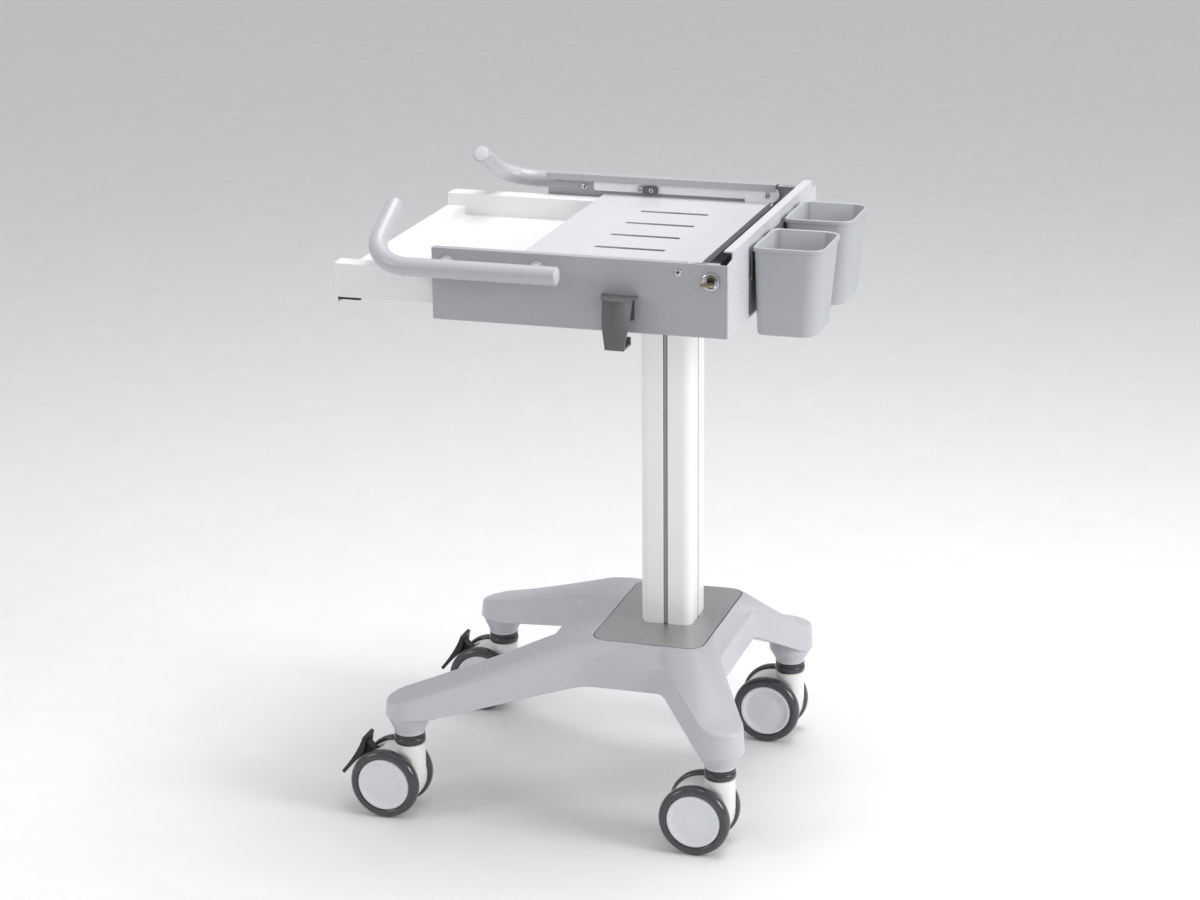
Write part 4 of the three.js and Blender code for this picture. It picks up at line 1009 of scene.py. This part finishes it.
def guide_bars():
    """White bars under the flanges, each with a small latch, a ring and a screwed end plate."""
    for side_name, side in SIDES.items():
        inner = side * WALL_INNER

        def layer(outline, radius, near, far):
            """A plate that starts and ends at these distances from the wall's inside."""
            low, high = sorted((inner - side * near, inner - side * far))
            return prism(softened(outline, radius), low, high, along_x)

        white = {"material": GUIDE_WHITE}
        bar = layer(BAR, 4, 0, BAR_THICK)
        piece(f"guide_bar_{side_name}", "cart", "white_coat", bar, edge=0.8, **white)
        looks = {"material": MATERIALS["dark_coat"], "edge": 0.7}
        piece(f"latch_{side_name}", "cart", "dark_coat", layer(LATCH, 5, *LATCH_DEEP), **looks)
        ring_x = inner - side * BAR_THICK
        ring = turned(LATCH_RING, 32, LATCH_RING_AT, lambda u, v, w: (ring_x - side * w, u, v))
        piece(f"latch_ring_{side_name}", "cart", "frame_steel", ring)
        end = layer(END_PLATE, 6, *END_PLATE_DEEP)
        piece(f"end_plate_{side_name}", "cart", "white_coat", end, edge=0.4, **white)
        held = ((LATCH_SCREW, LATCH_DEEP[1]), (END_PLATE_SCREW, END_PLATE_DEEP[1]))
        heads = [((inner - side * deep, *place), (-side, 0, 0), *size) for (place, *size), deep in held]
        screws(f"guide_screws_{side_name}", "cart", "frame_steel", heads)


TAB_START = 91
TAB_WIDE = 11
TAB_Z = (-2.2, -0.6)  # from the side panel's top
TAB_SLOT_Y = (99, 113)
TAB_SLOT_R = 2


def rear_tabs():
    """Thin slotted tabs that carry the flange's line back to the rear panel."""
    rear = span("rear_panel")[0].y - 0.5
    top = span("side_panel_right")[1].z
    for side_name, side in SIDES.items():
        near, far = sorted((side * (WALL_INNER - 0.2), side * (WALL_INNER - TAB_WIDE)))
        outline = [(near, TAB_START), (far, TAB_START), (far, rear), (near, rear)]
        solid = prism(outline, top + TAB_Z[0], top + TAB_Z[1])
        tab = piece(f"rear_tab_{side_name}", "cart", "grey_coat", solid)
        mid = (near + far) / 2
        y0, y1 = TAB_SLOT_Y
        slot = [*arc(mid, y0, TAB_SLOT_R, 180, 360, 10), *arc(mid, y1, TAB_SLOT_R, 0, 180, 10)]
        carve(tab, prism(slot, top - 4, top + 1))
        dress(tab, "cart", "grey_coat", edge=0.3)


TRIM_X = (0.4, 7)  # in from the drawer's side
TRIM_FRONT = 6.3  # back from its front
TRIM_LONG = 32
TRIM_Z = (760.4, 763.3)


def skirt_trims():
    """Dark finger-grip strips tucked under the drawer's side folds, behind its front hem."""
    low, high = span("drawer_tray")
    for side_name, side in SIDES.items():
        near, far = sorted(side * (high.x - inset) for inset in TRIM_X)
        front = low.y + TRIM_FRONT
        strip = [(near, front), (far, front), (far, front + TRIM_LONG), (near, front + TRIM_LONG)]
        solid = prism(softened(strip, 2), *TRIM_Z)
        looks = {"material": SHADE_AND_TRIM_BLACK, "edge": 0.5}
        piece(f"skirt_trim_{side_name}", "drawer", "black_plastic", solid, **looks)


# ---------- handles ----------

TUBE_R = 12.7
HANDLE_X = 286
HANDLE_Z = 823
HANDLE_REAR = -77
BEND_Y = -284
BEND_R = 57
HANDLE_RISE = math.radians(27.4)
HANDLE_END = 67
POST_YS = (-115, -240)
POST_R = 7
POST_FOOT = [(10.5, 0), (10.5, 1.8), (9.5, 2.6), (7.4, 3.4), (POST_R, 6)]  # radius, and out from the wall
PLUG_STEPS = [(-3, 11), (0.1, 11), (0.8, 10.6), (1.1, 9.8)]  # out of the tube's end, and radius
TUBE_CHAMFER = 0.7


def tube(stations, segments=48):
    """A round bar through stations of (centre, run, level, radius), where level is square to the run."""
    loops = []
    for centre, run, level, r in stations:
        up = run.cross(level)
        angles = [2 * math.pi * i / segments for i in range(segments)]
        loops.append([tuple(centre + level * r * math.cos(a) + up * r * math.sin(a)) for a in angles])
    return skin(loops)


def handle(side_name, side):
    forward = Vector((0, -1, 0))
    inward = Vector((-side * math.cos(HANDLE_RISE), 0, math.sin(HANDLE_RISE)))
    level = forward.cross(inward).normalized()
    rear = Vector((side * HANDLE_X, HANDLE_REAR, HANDLE_Z))
    start = Vector((side * HANDLE_X, BEND_Y, HANDLE_Z))
    end_r = TUBE_R - TUBE_CHAMFER
    stations = [(rear, forward, level, end_r), (rear + forward * TUBE_CHAMFER, forward, level, TUBE_R)]
    parts = 36
    for i in range(parts + 1):
        angle = math.pi / 2 * i / parts
        centre = start + forward * BEND_R * math.sin(angle) + inward * BEND_R * (1 - math.cos(angle))
        run = forward * math.cos(angle) + inward * math.sin(angle)
        stations.append((centre, run, level, TUBE_R))
    tip = stations[-1][0] + inward * HANDLE_END
    stations += [(tip - inward * TUBE_CHAMFER, inward, level, TUBE_R), (tip, inward, level, end_r)]
    posts = []
    for y in POST_YS:
        foot = WALL_X + 0.3
        profile = [(0, foot), *[(r, foot + out) for r, out in POST_FOOT], (POST_R, HANDLE_X), (0, HANDLE_X)]
        posts.append(turned(profile, 40, (y, HANDLE_Z), lambda u, v, w: (side * w, u, v)))
    node = f"handle_{side_name}"
    looks = {"stands_for": (node,), "sharp": 40}
    piece(f"{node}_shown", "cart", "handle_coat", tube(stations), *posts, **looks)
    plugs = []
    for end, out in ((rear, -forward), (tip, inward)):
        plugs.append(tube([(end + out * d, out, level, r) for d, r in PLUG_STEPS]))
    piece(f"{node}_plugs", "cart", "handle_coat", *plugs, material=END_PLUG, sharp=40)


# ---------- bins ----------

BIN_HALF = 60
BIN_DEPTH = 97
BIN_WALL = 2.5
BIN_RIM = 1.5
BIN_TAPER = 8
BIN_CORNER = 22
BIN_BACK_CORNER = 10


def bin_loop(x, half, front, rear, z, inset):
    near, far = max(1, BIN_BACK_CORNER - inset), BIN_CORNER - inset
    outline = rounded_rectangle(half - inset, front + inset, rear - inset, near, 10, far)
    return [(x + u, v, z) for u, v in outline]


def bin_tub(side_name):
    node = f"bin_{side_name}"
    low, high = span(node)
    x = (low.x + high.x) / 2
    back, rear, top, foot = high.y - BIN_DEPTH, high.y, high.z, low.z
    bottom = (x, BIN_HALF - BIN_TAPER, back + 4.5, rear - 12)
    mouth = (x, BIN_HALF - BIN_RIM, back + BIN_RIM, rear - BIN_RIM)
    rim = (x, BIN_HALF, back, rear)

    def drawn(share, z, inset):
        """A level of the tub's wall, from its bottom at 0 to its mouth at 1."""
        level = [b + (m - b) * share for b, m in zip(bottom, mouth)]
        return bin_loop(*level, z, inset)

    floor = foot + BIN_WALL
    loops = [
        drawn(0.02, floor, BIN_WALL + 5),
        drawn(0.02, floor + 0.6, BIN_WALL + 2),
        drawn(0.05, floor + 3.4, BIN_WALL),
        drawn(0.97, top - 1.2, BIN_WALL),
        bin_loop(*rim, top - 0.3, 3.4),
        bin_loop(*rim, top, 2.6),
        bin_loop(*rim, top, 1),
        bin_loop(*rim, top - 0.4, 0.3),
        bin_loop(*rim, top - 1.2, 0),
        bin_loop(*rim, top - 5.4, 0),
        bin_loop(*rim, top - 6, 0.5),
        drawn(0.95, top - 6.3, 0),
        drawn(0.03, foot + 3.2, 0),
        drawn(0.01, foot + 0.9, 1),
        drawn(0, foot, 3.2),
    ]
    tab_top = top - 3.4
    bridge = [(low.y, tab_top - 14.6), (low.y + 1.6, tab_top - 14.6), (low.y + 1.6, tab_top - 2)]
    bridge += [(back + 2.5, tab_top - 2), (back + 2.5, tab_top), (low.y, tab_top)]
    hanger = prism(bridge, x - 20, x + 20, along_x)
    piece(f"{node}_shown", node, "bin_plastic", skin(loops), hanger, stands_for=(node,), sharp=40)


# ---------- cord hook ----------

HOOK_Y = -1
HOOK_TOP = 796
HOOK_TALL = 69
HOOK_SHEET = 3
HOOK_LEVELS = [
    # depth under the top, half width, distance from the middle of the cart at the edges and at the middle
    (2.2, 20.4, 265, 283.6),
    (12, 20, 269, 284.6),
    (24, 19.4, 272, 285),
    (36, 18.5, 276, 285),
    (49, 16.2, 279, 284),
    (61, 14, 281, 283),
    (66, 13.2, 281, 282),
    (69, 13, 281, 281.4),
]


def hook_loop(drop, half, edge, mid):
    def swept(inset):
        a, b = Vector((edge - inset, HOOK_Y - half)), Vector((edge - inset, HOOK_Y + half))
        corner = Vector((2 * mid - edge - inset, HOOK_Y))
        return [tuple(curve(a, corner, b, i / 20)) for i in range(21)]

    return [(x, y, HOOK_TOP - drop) for x, y in swept(0) + list(reversed(swept(HOOK_SHEET)))]


HOOK_CAP = (35, 24.5)  # reach from the wall, and half the width
HOOK_CAP_INNER = (32.6, 22.1)  # inside its raised rim
HOOK_FOOT_X = (247, 281)
HOOK_FOOT_HALF = 13
HOOK_HEEL_TALL = 11
HOOK_PAD_HALF = 20
HOOK_PAD_Z = (HOOK_TOP - 34, HOOK_TOP - 1)
HOOK_PAD_THICK = 2.5
HOOK_SCREW = (3.6, 1.4)  # radius and height


def block(x0, x1, half, z0, z1):
    """A plain part of the hook, from x0 to x1 and z0 to z1."""
    y0, y1 = HOOK_Y - half, HOOK_Y + half
    return prism([(x0, y0), (x1, y0), (x1, y1), (x0, y1)], z0, z1)


def side_hook():
    wall = WALL_X + 0.3
    low = HOOK_TOP - HOOK_TALL

    def half_ellipse(reach, half):
        points = arc(0, 0, 1, -90, 90, 40)
        return [(wall + u * reach, HOOK_Y + v * half) for u, v in points]

    cap = prism(half_ellipse(*HOOK_CAP), HOOK_TOP - HOOK_SHEET, HOOK_TOP - 0.9)
    outline = half_ellipse(*HOOK_CAP) + list(reversed(half_ellipse(*HOOK_CAP_INNER)))
    rim = prism(outline, HOOK_TOP - 1.2, HOOK_TOP)
    start, end = HOOK_FOOT_X
    foot = block(start, end, HOOK_FOOT_HALF, low, low + HOOK_SHEET)
    heel = block(start, start + HOOK_SHEET, HOOK_FOOT_HALF, low, low + HOOK_HEEL_TALL)
    y0, y1 = HOOK_Y - HOOK_PAD_HALF, HOOK_Y + HOOK_PAD_HALF
    z0, z1 = HOOK_PAD_Z
    pad = softened([(y0, z0), (y1, z0), (y1, z1), (y0, z1)], 4)
    back = prism(pad, wall, wall + HOOK_PAD_THICK, along_x)
    front = skin([hook_loop(*level) for level in HOOK_LEVELS])
    looks = {"stands_for": ("side_hook",), "edge": 0.7, "segments": 2}
    piece("side_hook_shown", "cart", "dark_coat", cap, rim, foot, heel, back, front, **looks)
    places = [(wall + HOOK_PAD_THICK, HOOK_Y + s * 12, HOOK_TOP - 18) for s in (-1, 1)]
    screws("hook_screws", "cart", "frame_steel", [(place, (1, 0, 0), *HOOK_SCREW) for place in places])


# ---------- lock ----------

LOCK_Y = 122
LOCK_Z = 821
NUT_R = 12.5
NUT_BORE = 8.7
NUT_X = (245.5, 249.8)
KEY_BOW = 9


def lock():
    face = WALL_X + 0.3
    ring = [
        (5.8, 236),
        (8.5, 236),
        (8.5, face),
        (12, face),
        (12, face + 2.4),
        (11.6, face + 3.6),
        (10.6, face + 4.2),
        (9, face + 4.1),
        (8, face + 3.3),
        (7.7, face + 2.4),
        (5.8, face + 2.3),
    ]
    body = turned(ring, 72, (LOCK_Y, LOCK_Z), along_x)
    piece("lock_body_shown", "cart", "chrome", body, stands_for=("lock_body",), sharp=40)
    nut, bore = (arc(LOCK_Y, LOCK_Z, radius, 0, 300, 5) for radius in (NUT_R, NUT_BORE))
    x0, x1 = NUT_X
    levels = ((bore, x0), (nut, x0), (nut, x1), (bore, x1))
    loops = [[along_x(u, v, w) for u, v in shape] for shape, w in levels]
    piece("lock_nut", "cart", "frame_steel", skin(loops, ring=True), edge=0.4)
    # The plug is drawn in the collar's near-black, which paints the shade inside the lock ring's recess.
    refined("lock_plug", 0.2, material=COLLAR_BLACK)
    refined("lock_cam", 0.3)
    key()


def key():
    """A flat key: a round bow with a hole, and a blade that runs into the plug."""
    low, high = span("lock_key")
    bow_x = high.x - KEY_BOW
    outline = arc(bow_x, LOCK_Y, KEY_BOW, 22, 338, 48)
    blade = [(bow_x - 6, LOCK_Y - 3.4), (low.x + 3, LOCK_Y - 3.4), (low.x, LOCK_Y - 1)]
    blade += [(low.x, LOCK_Y + 1), (low.x + 3, LOCK_Y + 3.4), (bow_x - 6, LOCK_Y + 3.4)]
    spun = [(2 * bow_x - x, y) for x, y in outline]
    flat = prism(spun + list(reversed(blade)), low.z, high.z)
    shape = piece("lock_key_shown", "lock_cylinder", "brass", flat)
    carve(shape, prism(arc(bow_x + 4, LOCK_Y, 2, 0, 345, 23), low.z - 1, high.z + 1))
    dress(shape, "lock_cylinder", "brass", stands_for=("lock_key",), edge=0.3)


# ---------- stage ----------


def stage():
    bpy.ops.mesh.primitive_grid_add(x_subdivisions=8, y_subdivisions=8, size=30)
    floor = bpy.context.object
    floor.name = "floor"
    floor.data.materials.append(powder_coat("floor_paint", (0.9, 0.9, 0.905), 0.6))
    world = bpy.data.worlds.new("studio")
    bpy.context.scene.world = world
    world.use_nodes = True
    background = world.node_tree.nodes["Background"]
    background.inputs["Color"].default_value = (0.97, 0.98, 1.0, 1)
    background.inputs["Strength"].default_value = 0.56


def soft_light(name, location, aim, size, watts):
    light = bpy.data.lights.new(name, "AREA")
    light.shape = "DISK"
    light.size = size
    light.energy = watts
    lamp = bpy.data.objects.new(name, light)
    lamp.location = location
    lamp.rotation_mode = "QUATERNION"
    lamp.rotation_quaternion = (Vector(aim) - Vector(location)).to_track_quat("-Z", "Y")
    bpy.context.scene.collection.objects.link(lamp)


def lights():
    soft_light("overhead", (-0.3, 0.3, 3.0), (0, 0, 0.5), 1.8, 46)
    soft_light("rear_side", (0.5, 3.0, 1.6), (0, 0, 0.5), 1.4, 48)
    soft_light("front_side", (1.9, -2.4, 1.8), (0, 0, 0.4), 1.2, 16)


def camera():
    """Seen from the right and slightly behind, a little above the cart."""
    azimuth, elevation, roll = math.radians(107.18), math.radians(17.44), math.radians(-0.51)
    back = Vector(
        (
            math.sin(azimuth) * math.cos(elevation),
            -math.cos(azimuth) * math.cos(elevation),
            math.sin(elevation),
        )
    )
    aim, distance = at(0, -108.3, 497.3), 4133.1 * MM
    data = bpy.data.cameras.new("camera")
    data.lens = 86.85
    data.sensor_width = 36
    data.clip_end = 60
    view = bpy.data.objects.new("camera", data)
    view.location = aim + back * distance
    view.rotation_mode = "QUATERNION"
    view.rotation_quaternion = (-back).to_track_quat("-Z", "Y") @ Quaternion((0, 0, 1), roll)
    bpy.context.scene.collection.objects.link(view)
    bpy.context.scene.camera = view


# ---------- assembly ----------

camera()
lights()
stage()
base_cover()
base_plate()
column()
column_strips()
column_head()
casters()
housing()
panel_screws()
guide_bars()
rear_tabs()
skirt_trims()
for side_name, side in SIDES.items():
    handle(side_name, side)
    bin_tub(side_name)
side_hook()
lock()
for node, obj in frame["nodes"].items():
    obj.data.materials.clear()
    obj.data.materials.append(MATERIALS[NODE_SLOT[node]])

bpy.context.scene.view_settings.view_transform = "Standard"
bpy.context.view_layer.update()
